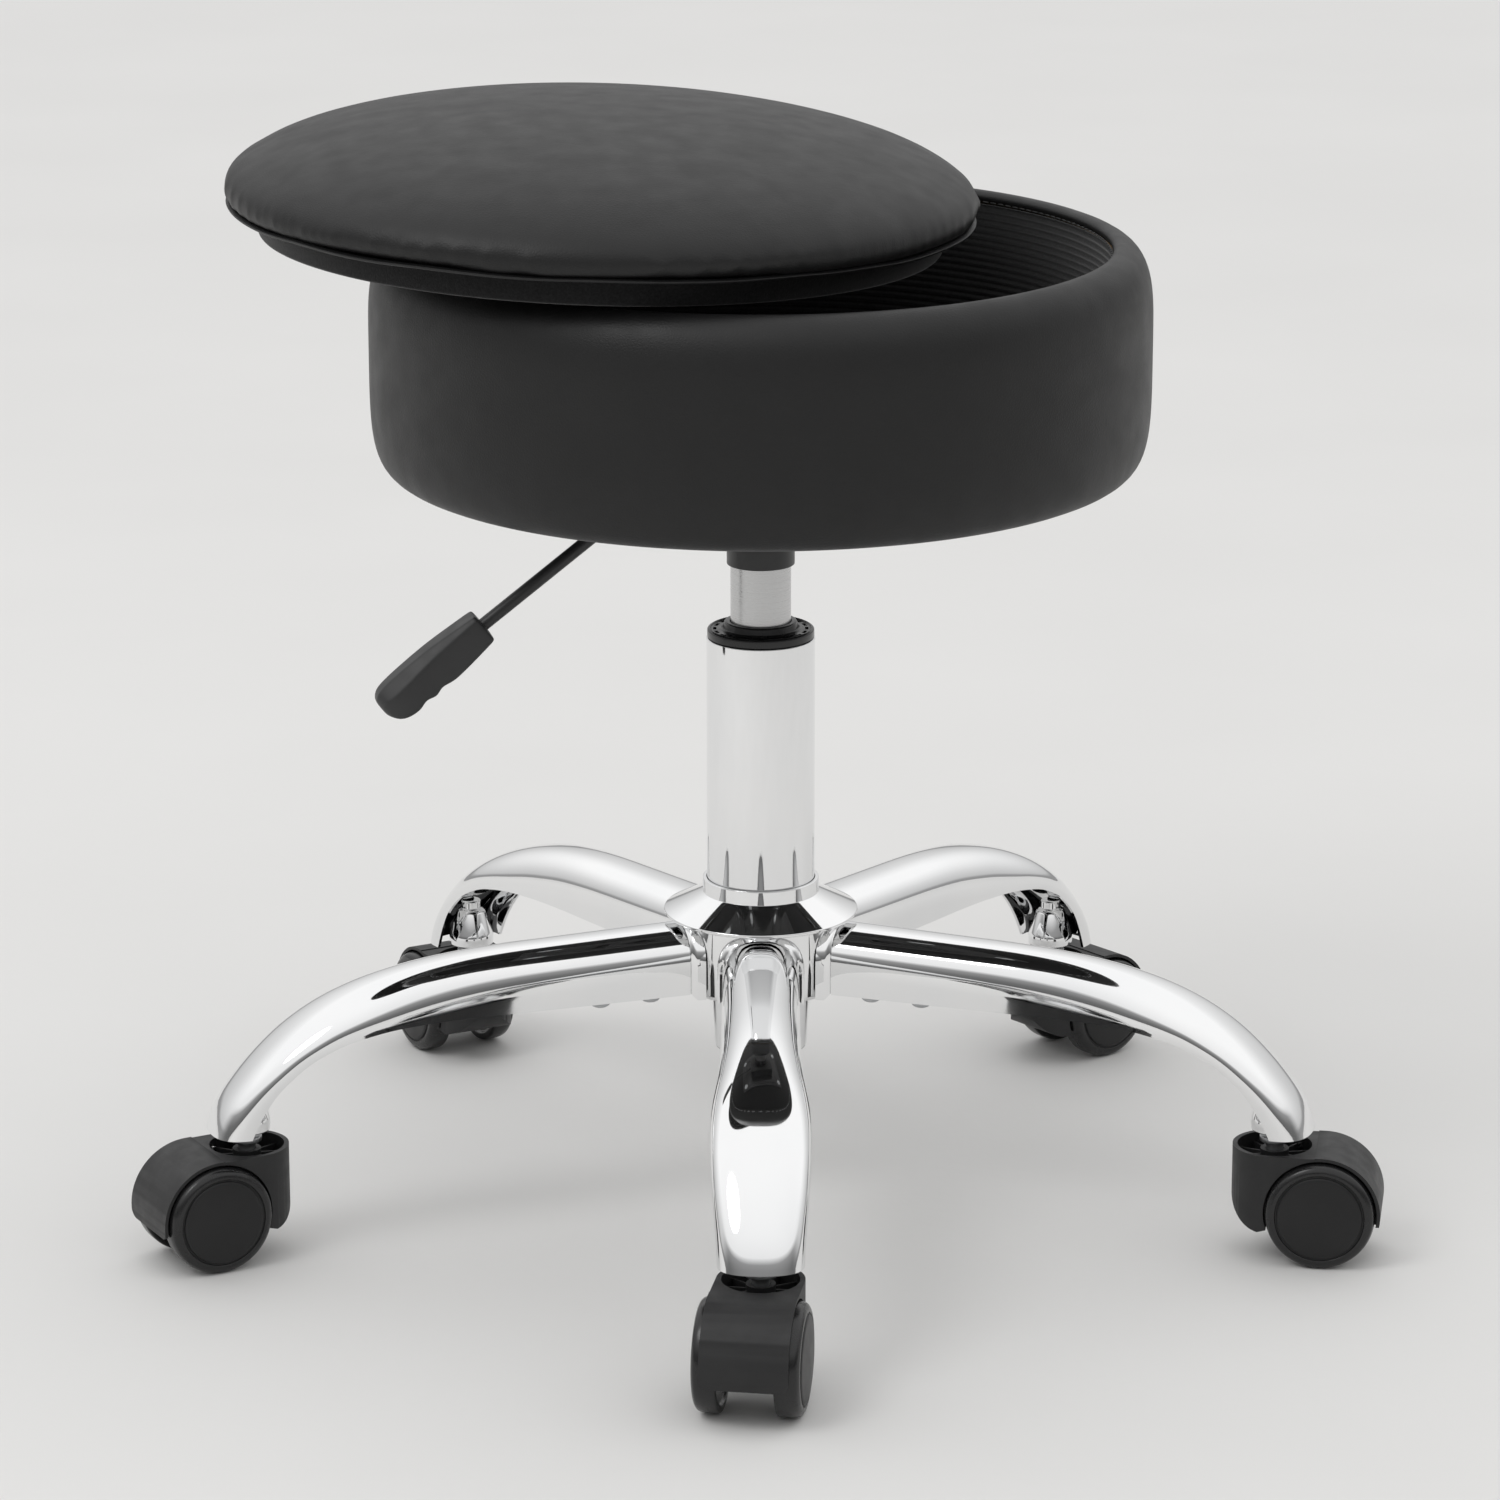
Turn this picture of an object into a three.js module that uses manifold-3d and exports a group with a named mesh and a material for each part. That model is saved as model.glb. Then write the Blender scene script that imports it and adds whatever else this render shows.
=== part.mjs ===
// Rolling stylist stool: a chrome five-legged base on twin-wheel casters, a gas-lift column,
// and a round upholstered storage seat whose padded lid lies loose on the rim.
// Millimetres, +Z up, floor at Z = 0.
import * as THREE from 'three';
import { mergeVertices } from 'three/addons/utils/BufferGeometryUtils.js';
import Module from 'manifold-3d';

const wasm = await Module();
wasm.setup();

// ---------------------------------------------------------------- driving dimensions
const GAP = 0.3; // clearance between pieces that touch on the real stool
const COLUMN_Y = 23.3; // column axis in the frame, so that the origin is under the middle of the box
const LEVEL = -2.3; // heights on everything above the casters are measured from here

// base
const LEG_AZIMUTHS = [270, 342, 54, 126, 198]; // leg_1 points to the front
const CASTER_REACH = 247; // column axis to caster stem
const LEG_WALL = 1.6;
const LEG_ROOT = 36;
const LEG_ROOT_TOP = 139.5;
const LEG_ROOT_BOTTOM = 110;
const LEG_CLOSED_TO = 100; // underside is closed from the hub out to here
const HUB_RADIUS = 37.5;
const HUB_BOTTOM = 107;
const HUB_TOP = 141.7;
const HUB_ARM = { reach: 90, width: 22, bottom: 112.5, height: 14 };
const COVER_RADIUS = 45;

// casters
const CASTER_TRAIL_AZIMUTHS = [261.2, 351.6, 40.5, 118.2, 209];
const CASTER_TRAIL = 22.2;
const WHEEL_RADIUS = 25;
const WHEEL_INNER_FACE = 12.3;
const WHEEL_OUTER_FACE = 24.7;
const CUP_RADIUS = 19.25;
const CUP_RIM = 52;
const CUP_FLOOR = 40;
const FENDER_RADIUS = 27.4;
const FENDER_END_ANGLE = -12; // degrees below the axle
const WELL_RADIUS = 25.9;
const WEB_HALF = 11.9; // half the body between the wheels
const STEM_RADIUS = 4;
const STEM_TOP = 73.7;
const STEM_BOTTOM = 30;
const AXLE_RADIUS = 2.5;
const SOCKET_BOTTOM = 61.6;
const SOCKET_TOP = 79.5;
const SOCKET_KNOB = { radius: 4.8, top: 84.5 };

// column and gas lift
const TUBE_RADIUS = 25;
const TUBE_WALL = 2;
const TUBE_TOP = 273.7;
const TUBE_TAPER_TOP = 146;
const TUBE_END_RADIUS = 21.2;
const TUBE_BOTTOM = 76;
const BUSH_BOTTOM = 200;
const CYLINDER_RADIUS = 13.9;
const CYLINDER_BOTTOM = 96;
const CYLINDER_TOP = 332;
const ROD_RADIUS = 4.9;
const BUTTON_RADIUS = 4;
const BUTTON_TOP = 337.7;

// seat plate and lever, turned about the column to the lever's heading
const MECHANISM_TURN = 12;
const PLATE = { length: 150, width: 130, thick: 2.6, top: 356.4 };
const TRAY = { halfLength: 34, halfWidth: 30, wall: 2.5, bottom: 324 };
const BOLT_PITCH = { x: 120, y: 100 };
const BOLT_RADIUS = 3;
const LEVER_RADIUS = 3;
const LEVER_Z = 341;
const LEVER_ANGLE = 37.2; // degrees down from level, outside the tray
const LEVER_KNEE_X = -56.7;
const LEVER_TIP_X = 9;

// storage box
const BOX_RADIUS = 177.2;
const BOX_BOTTOM = 354.1;
const BOX_TOP = 458.8;
const BOX_FOOT = { drop: 56.8, inset: 25, power: 4.3 };
const BOX_RIM = { drop: 40, inset: 23.3, power: 3.24 };
const MOUTH_RADIUS = 158.3;
const WALL_RADII = [159.8, 166];
const WALL_TOP = 451.7;
const BASE_BOTTOM = 357;
const BASE_THICK = 12;
const HEM_RADIUS = 140;

// lid, in its own frame: Z = 0 is its underside
const LID_CENTRE = [-71.5, 0, 473];
const LID_TILT = 1.95; // degrees, right side down
const LID_RADIUS = 170.6;
const LID_EDGE = { height: 6.4, inset: 3 };
const LID_CROWN = { height: 41.2, power: 1.97 };
const LID_BOARD_RADIUS = 165;
const PLUG_RADIUS = 154;
const PLUG_THICK = 13.2;

// facets around a full turn
const FINE = 36;
const MEDIUM = 24;
const COARSE = 12;
const WHEEL_FACETS = 20;

// ---------------------------------------------------------------- materials
const material = (color, roughness, metalness) =>
  new THREE.MeshStandardMaterial({ color, roughness, metalness });
const CHROME = material(0xdfe1e4, 0.08, 1);
const STEEL = material(0xb4b6b8, 0.35, 1);
const BLACK_STEEL = material(0x1a1a1b, 0.45, 0.6);
const NYLON = material(0x252526, 0.5, 0);
const GLOSS_PLASTIC = material(0x161617, 0.2, 0);
const LEATHER = material(0x1f1f20, 0.55, 0);
const LINING = material(0x151516, 0.95, 0);
const PLYWOOD = material(0xb58a58, 0.8, 0);

// ---------------------------------------------------------------- solids
const radians = THREE.MathUtils.degToRad;

function toSolid(geometry) {
  const bare = geometry.clone();
  for (const name of Object.keys(bare.attributes)) {
    if (name !== 'position') bare.deleteAttribute(name);
  }
  const merged = mergeVertices(bare, 1e-4);
  const { array: position } = merged.attributes.position;
  const corner = (i) => new THREE.Vector3().fromArray(position, 3 * i);
  const triangles = [];
  let volume = 0;
  for (let i = 0; i < merged.index.count; i += 3) {
    const [a, b, c] = merged.index.array.subarray(i, i + 3);
    if (a === b || b === c || c === a) continue;
    triangles.push([a, b, c]);
    volume += corner(a).dot(corner(b).cross(corner(c)));
  }
  const outward = volume > 0 ? triangles : triangles.map(([a, b, c]) => [a, c, b]);
  return new wasm.Manifold(
    new wasm.Mesh({
      numProp: 3,
      vertProperties: new Float32Array(position),
      triVerts: new Uint32Array(outward.flat()),
    }),
  );
}

function toGeometry(solid) {
  const { vertProperties, triVerts } = solid.getMesh();
  const geometry = new THREE.BufferGeometry();
  geometry.setAttribute('position', new THREE.BufferAttribute(Float32Array.from(vertProperties), 3));
  geometry.setIndex(Array.from(triVerts));
  geometry.computeVertexNormals();
  return geometry;
}

const join = (first, ...rest) => rest.reduce((whole, piece) => whole.add(piece), first);
const cut = (first, ...rest) => rest.reduce((whole, piece) => whole.subtract(piece), first);

// A profile of [radius, height] pairs turned about Z. It ends on the axis or closes on itself.
function lathe(profile, segments = MEDIUM) {
  const points = profile.map(([r, z]) => new THREE.Vector2(r, z));
  const last = profile.length - 1;
  if (profile[0][0] > 0 || profile[last][0] > 0) points.push(points[0].clone());
  return toSolid(new THREE.LatheGeometry(points, segments).rotateX(Math.PI / 2));
}

const disc = (radius, bottom, top, segments = MEDIUM) =>
  lathe([[0, bottom], [radius, bottom], [radius, top], [0, top]], segments);

const ring = (inner, outer, bottom, top, segments = MEDIUM) =>
  lathe([[inner, bottom], [outer, bottom], [outer, top], [inner, top]], segments);

function block(x, y, z) {
  const centre = [x, y, z].map(([low, high]) => (low + high) / 2);
  const size = [x, y, z].map(([low, high]) => high - low);
  return toSolid(new THREE.BoxGeometry(...size).translate(...centre));
}

// An outline of [x, z] pairs, extruded across Y and centred on Y = 0.
function slab(outline, width) {
  const shape = new THREE.Shape(outline.map(([x, z]) => new THREE.Vector2(x, z)));
  const geometry = new THREE.ExtrudeGeometry(shape, { depth: width, bevelEnabled: false });
  return toSolid(geometry.translate(0, 0, -width / 2).rotateX(Math.PI / 2));
}

// A cylinder along Y through (x, z), from Y = from to Y = to.
function crossPin(radius, x, z, from, to, segments = COARSE) {
  const geometry = new THREE.CylinderGeometry(radius, radius, to - from, segments);
  return toSolid(geometry.translate(x, (from + to) / 2, z));
}

// [x, z] points on a circle, from one angle to another in degrees.
function arc(centre, radius, from, to, steps) {
  return Array.from({ length: steps + 1 }, (_, i) => {
    const angle = radians(from + ((to - from) * i) / steps);
    return [centre[0] + radius * Math.cos(angle), centre[1] + radius * Math.sin(angle)];
  });
}

// A rounded corner that leaves a vertical side at [radius, z] and ends level, inset and drop away.
// side is +1 for a corner at the top of the side and -1 for one at its foot.
function softCorner(radius, z, { drop, inset, power }, side, steps) {
  return Array.from({ length: steps + 1 }, (_, i) => {
    const angle = (Math.PI / 2) * (i / steps);
    const across = inset * (1 - Math.cos(angle) ** (2 / power));
    const along = drop * Math.sin(angle) ** (2 / power);
    return [radius - across, z + side * along];
  });
}

function bezier(points, t) {
  const vectors = points.map(([x, z]) => new THREE.Vector2(x, z));
  return new THREE.CubicBezierCurve(...vectors).getPoint(t);
}

// ---------------------------------------------------------------- scene graph
const stool = new THREE.Group();
const base = new THREE.Group();
const seat = new THREE.Group();
const mechanism = new THREE.Group();
const lid = new THREE.Group();
stool.add(base, seat);
seat.add(mechanism, lid);
base.position.set(0, COLUMN_Y, LEVEL);
seat.position.set(0, COLUMN_Y, LEVEL);
mechanism.rotation.z = radians(MECHANISM_TURN);
lid.position.set(...LID_CENTRE);
lid.rotation.y = radians(LID_TILT);

function place(parent, name, solid, look) {
  const mesh = new THREE.Mesh(toGeometry(solid), look);
  mesh.name = name;
  parent.add(mesh);
}

// ---------------------------------------------------------------- legs
// Along a leg, X runs outwards from the column. The top edge is straight, then bends down to the tip.
const LEG_TOP_BEND = [[115, 137], [185, 134.9], [225, 122], [262, 72]];
const LEG_TOP_TIP = [264.6, 62];
// The lower edge stays level and then curls under, one point for each point taken on the top bend.
const LEG_BOTTOM_BEND = [
  [118, 109.5], [138, 109.7], [161, 109.6], [184, 108.5], [204, 104.8], [221.5, 97], [236.5, 84], [245, 70.5],
];
const LEG_BOTTOM_TIP = [248.5, 62];
const LEG_WIDTHS = [[0, 35.5], [110, 35.5], [178, 40], [206, 44.6], [229, 43.9], [254, 40.1], [266, 37.8]];

function legWidth(x) {
  const next = Math.max(1, LEG_WIDTHS.findIndex(([at]) => at >= x));
  const [[x0, w0], [x1, w1]] = [LEG_WIDTHS[next - 1], LEG_WIDTHS[next]];
  return w0 + ((w1 - w0) * (x - x0)) / (x1 - x0);
}

// Sections across the leg, each with its top and bottom point, from the root to the tip.
function legStations(extra) {
  const stations = [
    { top: [LEG_ROOT - extra, LEG_ROOT_TOP], bottom: [LEG_ROOT - extra, LEG_ROOT_BOTTOM] },
    { top: [LEG_CLOSED_TO, 137.2], bottom: [LEG_CLOSED_TO, 109.5] },
  ];
  LEG_BOTTOM_BEND.forEach((bottom, i, all) => {
    const top = bezier(LEG_TOP_BEND, i / (all.length - 1));
    stations.push({ top: [top.x, top.y], bottom });
  });
  const tip = [LEG_TOP_TIP[0], LEG_TOP_TIP[1] - extra];
  stations.push({ top: tip, bottom: [LEG_BOTTOM_TIP[0], LEG_BOTTOM_TIP[1] - extra] });
  return stations;
}

// An arched section: straight sides with a rounded crown, inset by a wall thickness. An open one
// reaches the given depth below the lower edge.
function legSection({ top, bottom }, inset, openDepth) {
  const up = new THREE.Vector2(top[0] - bottom[0], top[1] - bottom[1]);
  const height = up.length();
  up.normalize();
  const half = legWidth(top[0]) / 2 - inset;
  const floor = openDepth && top[0] > LEG_CLOSED_TO ? -openDepth : inset;
  const shoulder = 0.42 * height;
  const crown = height - inset - shoulder;
  const outline = [[-half, floor], [half, floor]];
  const steps = 6;
  for (let i = 0; i <= steps; i += 1) {
    const angle = (Math.PI * i) / steps;
    const across = Math.sign(Math.cos(angle)) * Math.abs(Math.cos(angle)) ** 0.8;
    outline.push([half * across, shoulder + crown * Math.sin(angle) ** 0.8]);
  }
  return outline.map(([y, u]) => [bottom[0] + up.x * u, y, bottom[1] + up.y * u]);
}

function loft(sections) {
  const count = sections[0].length;
  const index = [];
  for (let s = 0; s + 1 < sections.length; s += 1) {
    for (let i = 0; i < count; i += 1) {
      const [a, b] = [s * count + i, s * count + ((i + 1) % count)];
      index.push(a, b, b + count, a, b + count, a + count);
    }
  }
  const far = (sections.length - 1) * count;
  for (let i = 1; i + 1 < count; i += 1) index.push(0, i + 1, i, far, far + i, far + i + 1);
  const geometry = new THREE.BufferGeometry();
  geometry.setAttribute('position', new THREE.Float32BufferAttribute(sections.flat(2), 3));
  geometry.setIndex(index);
  return toSolid(geometry);
}

const legSolid = (inset, openDepth, extra) =>
  loft(legStations(extra).map((station) => legSection(station, inset, openDepth)));

function addLegs() {
  const hubRoom = disc(HUB_RADIUS + GAP, HUB_BOTTOM - 20, HUB_TOP, FINE);
  const shell = cut(legSolid(0, 0, 0), legSolid(LEG_WALL, 6, 5), hubRoom);
  const room = legSolid(LEG_WALL + GAP, 18, 5);
  const bore = STEM_RADIUS + GAP;
  const boreTop = STEM_TOP - LEVEL + GAP;
  const cone = lathe([
    [bore, SOCKET_BOTTOM],
    [10.9, SOCKET_BOTTOM],
    [10.9, SOCKET_BOTTOM + 5],
    [6.6, SOCKET_TOP],
    [SOCKET_KNOB.radius, SOCKET_TOP],
    [SOCKET_KNOB.radius, SOCKET_KNOB.top],
    [0, SOCKET_KNOB.top],
    [0, boreTop],
    [bore, boreTop],
  ], COARSE);
  const socket = cone.translate([CASTER_REACH, 0, 0]).intersect(room);
  LEG_AZIMUTHS.forEach((azimuth, i) => {
    const spoke = new THREE.Group();
    spoke.rotation.z = radians(azimuth);
    base.add(spoke);
    place(spoke, `leg_${i + 1}`, shell, CHROME);
    place(spoke, `caster_socket_${i + 1}`, socket, CHROME);
  });
}

// ---------------------------------------------------------------- hub, column and gas lift
const taperRadius = (z) =>
  TUBE_END_RADIUS + ((TUBE_RADIUS - TUBE_END_RADIUS) * (z - TUBE_BOTTOM)) / (TUBE_TAPER_TOP - TUBE_BOTTOM);

function addHub() {
  const boss = disc(HUB_RADIUS, HUB_BOTTOM, HUB_TOP, FINE);
  const arms = LEG_AZIMUTHS.map((azimuth) => {
    const arm = block(
      [HUB_RADIUS - 5, HUB_ARM.reach],
      [-HUB_ARM.width / 2, HUB_ARM.width / 2],
      [HUB_ARM.bottom, HUB_ARM.bottom + HUB_ARM.height],
    );
    return arm.rotate([0, 0, azimuth]);
  });
  const bore = lathe([
    [0, HUB_BOTTOM - 1],
    [taperRadius(HUB_BOTTOM - 1) + GAP, HUB_BOTTOM - 1],
    [taperRadius(HUB_TOP + 1) + GAP, HUB_TOP + 1],
    [0, HUB_TOP + 1],
  ], FINE);
  place(base, 'hub', cut(join(boss, ...arms), bore), CHROME);

  const inner = TUBE_RADIUS + GAP;
  const under = HUB_TOP + GAP;
  const cover = lathe([
    [inner, under],
    [COVER_RADIUS, under],
    [COVER_RADIUS, under + 1.6],
    [26.9, 152.2],
    [26.9, 158.8],
    [inner, 158.8],
  ], FINE);
  place(base, 'hub_cover', cover, CHROME);
}

function addColumn() {
  const tube = lathe([
    [6, TUBE_BOTTOM],
    [TUBE_END_RADIUS, TUBE_BOTTOM],
    [TUBE_RADIUS, TUBE_TAPER_TOP],
    [TUBE_RADIUS, TUBE_TOP],
    [TUBE_RADIUS - TUBE_WALL, TUBE_TOP],
    [TUBE_RADIUS - TUBE_WALL, TUBE_TAPER_TOP],
    [TUBE_END_RADIUS - TUBE_WALL, TUBE_BOTTOM + 3.5],
    [6, TUBE_BOTTOM + 3.5],
  ], FINE);
  place(base, 'column_tube', tube, CHROME);

  const bushBore = CYLINDER_RADIUS + GAP;
  const sleeve = TUBE_RADIUS - TUBE_WALL - GAP;
  const rim = TUBE_TOP + GAP;
  const bush = lathe([
    [bushBore, BUSH_BOTTOM],
    [sleeve, BUSH_BOTTOM],
    [sleeve, rim],
    [24.6, rim],
    [24.6, rim + 3.2],
    [23.6, rim + 4.3],
    [17.2, rim + 4.3],
    [16.4, 281.4],
    [bushBore, 281.4],
  ], FINE);
  place(base, 'guide_bush', bush, NYLON);
  place(base, 'thrust_bearing', ring(ROD_RADIUS + 0.4, 15, 79.8, 86), STEEL);
}

function addGasLift() {
  const rod = lathe([
    [0, 66],
    [ROD_RADIUS, 66],
    [ROD_RADIUS, 86.3],
    [8, 86.3],
    [8, 89],
    [ROD_RADIUS, 89],
    [ROD_RADIUS, 224],
    [11.6, 224],
    [11.6, 230],
    [0, 230],
  ], COARSE);
  place(base, 'piston_rod', rod, STEEL);
  place(base, 'retaining_clip', ring(ROD_RADIUS + GAP, 9, 74, 75.6, COARSE), STEEL);

  const taper = CYLINDER_RADIUS - 0.8;
  const cylinder = lathe([
    [0, 306],
    [11.9, 306],
    [11.9, CYLINDER_BOTTOM + 3.5],
    [ROD_RADIUS + 0.5, CYLINDER_BOTTOM + 3.5],
    [ROD_RADIUS + 0.5, CYLINDER_BOTTOM],
    [CYLINDER_RADIUS, CYLINDER_BOTTOM],
    [CYLINDER_RADIUS, 308],
    [taper, CYLINDER_TOP],
    [BUTTON_RADIUS + GAP, CYLINDER_TOP],
    [BUTTON_RADIUS + GAP, 316],
    [0, 316],
  ]);
  place(seat, 'gas_cylinder', cylinder, STEEL);
  place(seat, 'release_button', disc(BUTTON_RADIUS, 321, BUTTON_TOP, COARSE), STEEL);
}

// ---------------------------------------------------------------- seat plate and lever
function addSeatPlate() {
  const { halfLength, halfWidth, wall, bottom } = TRAY;
  const { length, width, thick, top } = PLATE;
  const flange = block([-length / 2, length / 2], [-width / 2, width / 2], [top - thick, top]);
  const tray = block([-halfLength, halfLength], [-halfWidth, halfWidth], [bottom, top - 1]);
  const inside = block(
    [wall - halfLength, halfLength - wall],
    [wall - halfWidth, halfWidth - wall],
    [bottom + wall, top + 1],
  );
  const socketHole = disc(15.6 + GAP, bottom - 1, bottom + wall + 1);
  const leverHole = new THREE.CylinderGeometry(4.6, 4.6, 8, COARSE).rotateZ(Math.PI / 2);
  leverHole.translate(-halfLength, 0, LEVER_Z);
  const boltHole = disc(BOLT_RADIUS + GAP, top - thick - 1, top + 1, COARSE);
  const boltHoles = boltPlaces().map(([x, y]) => boltHole.translate([x, y, 0]));
  const plate = cut(join(flange, tray), inside, socketHole, toSolid(leverHole), ...boltHoles);
  place(mechanism, 'seat_plate', plate, BLACK_STEEL);

  const floor = bottom + wall + GAP;
  const socket = lathe([
    [CYLINDER_RADIUS + GAP, 308.3],
    [15.6, 308.3],
    [15.6, floor],
    [20, floor],
    [20, floor + 2.4],
    [15.6, floor + 2.4],
    [15.6, 333],
    [CYLINDER_RADIUS - 0.8 + GAP, 333],
  ]);
  place(mechanism, 'taper_socket', socket, BLACK_STEEL);
}

const boltPlaces = () =>
  [[1, 1], [-1, 1], [-1, -1], [1, -1]].map(([x, y]) => [(x * BOLT_PITCH.x) / 2, (y * BOLT_PITCH.y) / 2]);

function addBolts() {
  const under = PLATE.top - PLATE.thick - GAP;
  boltPlaces().forEach(([x, y], i) => {
    const head = disc(5.5, under - 4, under, 6);
    const shank = disc(BOLT_RADIUS, under - 1, BASE_BOTTOM + BASE_THICK - 2, COARSE);
    place(mechanism, `plate_bolt_${i + 1}`, join(head, shank).translate([x, y, 0]), STEEL);
  });
}

// The lever lies in the plane Y = 0 of the mechanism and leaves it towards -X, sloping down.
const leverSlope = [-Math.cos(radians(LEVER_ANGLE)), -Math.sin(radians(LEVER_ANGLE))];
const alongLever = (s, t = 0) => [
  LEVER_KNEE_X + leverSlope[0] * s + leverSlope[1] * t,
  LEVER_Z + leverSlope[1] * s - leverSlope[0] * t,
];
const GRIP_START = 90.5;
const GRIP_ROD_DEPTH = 40;
const GRIP_TURN = 1.2; // degrees that the grip droops below the rod

const inPlane = ([x, z]) => new THREE.Vector3(x, 0, z);

function rodAlong(path, radius, steps) {
  const sides = 10;
  const section = arc([0, 0], radius, 0, 360 - 360 / sides, sides - 1);
  const shape = new THREE.Shape(section.map(([x, y]) => new THREE.Vector2(x, y)));
  return toSolid(new THREE.ExtrudeGeometry(shape, { steps, extrudePath: path, bevelEnabled: false }));
}

function addLever() {
  const bend = 8;
  const bendStart = inPlane([LEVER_KNEE_X + bend, LEVER_Z]);
  const bendEnd = inPlane(alongLever(bend));
  const path = new THREE.CurvePath();
  path.add(new THREE.LineCurve3(inPlane([LEVER_TIP_X, LEVER_Z]), bendStart));
  path.add(new THREE.QuadraticBezierCurve3(bendStart, inPlane(alongLever(0)), bendEnd));
  path.add(new THREE.LineCurve3(bendEnd, inPlane(alongLever(GRIP_START + GRIP_ROD_DEPTH))));
  place(mechanism, 'lever_rod', rodAlong(path, LEVER_RADIUS, 14), BLACK_STEEL);

  // side outline of the grip as [along, across] pairs, finger grooves underneath
  const outline = [
    [0, -7.6], [26, -9.6], [30, -8.2], [33, -8.1], [37, -9.4], [40, -8.1], [43, -8.1], [47, -9.6],
    [54, -8.6], [58.5, -4], [60, 2], [57, 7], [50, 9.2], [25, 9.4], [0, 7.4],
  ];
  const turn = radians(GRIP_TURN);
  const drooped = outline.map(([s, t]) => alongLever(
    GRIP_START + s * Math.cos(turn) + t * Math.sin(turn),
    t * Math.cos(turn) - s * Math.sin(turn),
  ));
  const boreLine = new THREE.LineCurve3(
    inPlane(alongLever(GRIP_START - 2)),
    inPlane(alongLever(GRIP_START + GRIP_ROD_DEPTH + 1)),
  );
  const bore = rodAlong(boreLine, LEVER_RADIUS + GAP, 1);
  place(mechanism, 'lever_grip', cut(slab(drooped, 20), bore), NYLON);
}

// ---------------------------------------------------------------- storage box
function addBox() {
  const footZ = BOX_BOTTOM + BOX_FOOT.drop;
  const rimZ = BOX_TOP - BOX_RIM.drop;
  const foot = softCorner(BOX_RADIUS, footZ, BOX_FOOT, -1, 5).reverse();
  const rim = softCorner(BOX_RADIUS, rimZ, BOX_RIM, 1, 7).filter(([r]) => r > MOUTH_RADIUS + 2);
  const outerWall = WALL_RADII[1] + GAP;
  const cover = lathe([
    [HEM_RADIUS, BOX_BOTTOM],
    ...foot,
    ...rim,
    [MOUTH_RADIUS + 1.4, BOX_TOP],
    [MOUTH_RADIUS, BOX_TOP - 1.4],
    [MOUTH_RADIUS, WALL_TOP + GAP],
    [outerWall, WALL_TOP + GAP],
    [outerWall, BASE_BOTTOM - GAP],
    [HEM_RADIUS, BASE_BOTTOM - GAP],
  ], FINE);
  place(seat, 'box_cover', cover, LEATHER);

  const floor = BASE_BOTTOM + BASE_THICK + GAP;
  place(seat, 'box_wall', ring(...WALL_RADII, floor, WALL_TOP, FINE), PLYWOOD);

  const lining = lathe([
    [0, floor],
    [WALL_RADII[0] - GAP, floor],
    [WALL_RADII[0] - GAP, WALL_TOP],
    [MOUTH_RADIUS, WALL_TOP],
    [MOUTH_RADIUS, floor + 1.2],
    [0, floor + 1.2],
  ], FINE);
  place(seat, 'box_lining', lining, LINING);

  const board = disc(WALL_RADII[1], BASE_BOTTOM, BASE_BOTTOM + BASE_THICK, FINE);
  const hole = disc(BOLT_RADIUS + GAP, BASE_BOTTOM - 1, BASE_BOTTOM + BASE_THICK - 1, COARSE);
  const holes = boltPlaces().map(([x, y]) => hole.translate([x, y, 0]).rotate([0, 0, MECHANISM_TURN]));
  place(seat, 'box_base', cut(board, ...holes), PLYWOOD);
}

// ---------------------------------------------------------------- lid
function addLid() {
  const crown = softCorner(LID_RADIUS, LID_EDGE.height, {
    drop: LID_CROWN.height,
    inset: LID_RADIUS,
    power: LID_CROWN.power,
  }, 1, 8);
  const hem = 150;
  const boardRoom = LID_BOARD_RADIUS + GAP;
  const cushion = lathe([
    [0, 11.3],
    [boardRoom, 11.3],
    [boardRoom, 2],
    [hem, 2],
    [hem, 0],
    [LID_RADIUS - LID_EDGE.inset, 0],
    [LID_RADIUS - 0.9, LID_EDGE.height * 0.4],
    ...crown.slice(0, -1),
    [0, LID_EDGE.height + LID_CROWN.height],
  ], FINE);
  place(lid, 'lid_cushion', cushion, LEATHER);
  place(lid, 'lid_board', disc(LID_BOARD_RADIUS, 2.3, 11, FINE), PLYWOOD);
  place(lid, 'lid_plug', disc(PLUG_RADIUS, -PLUG_THICK, -GAP, FINE), LINING);
}

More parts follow.
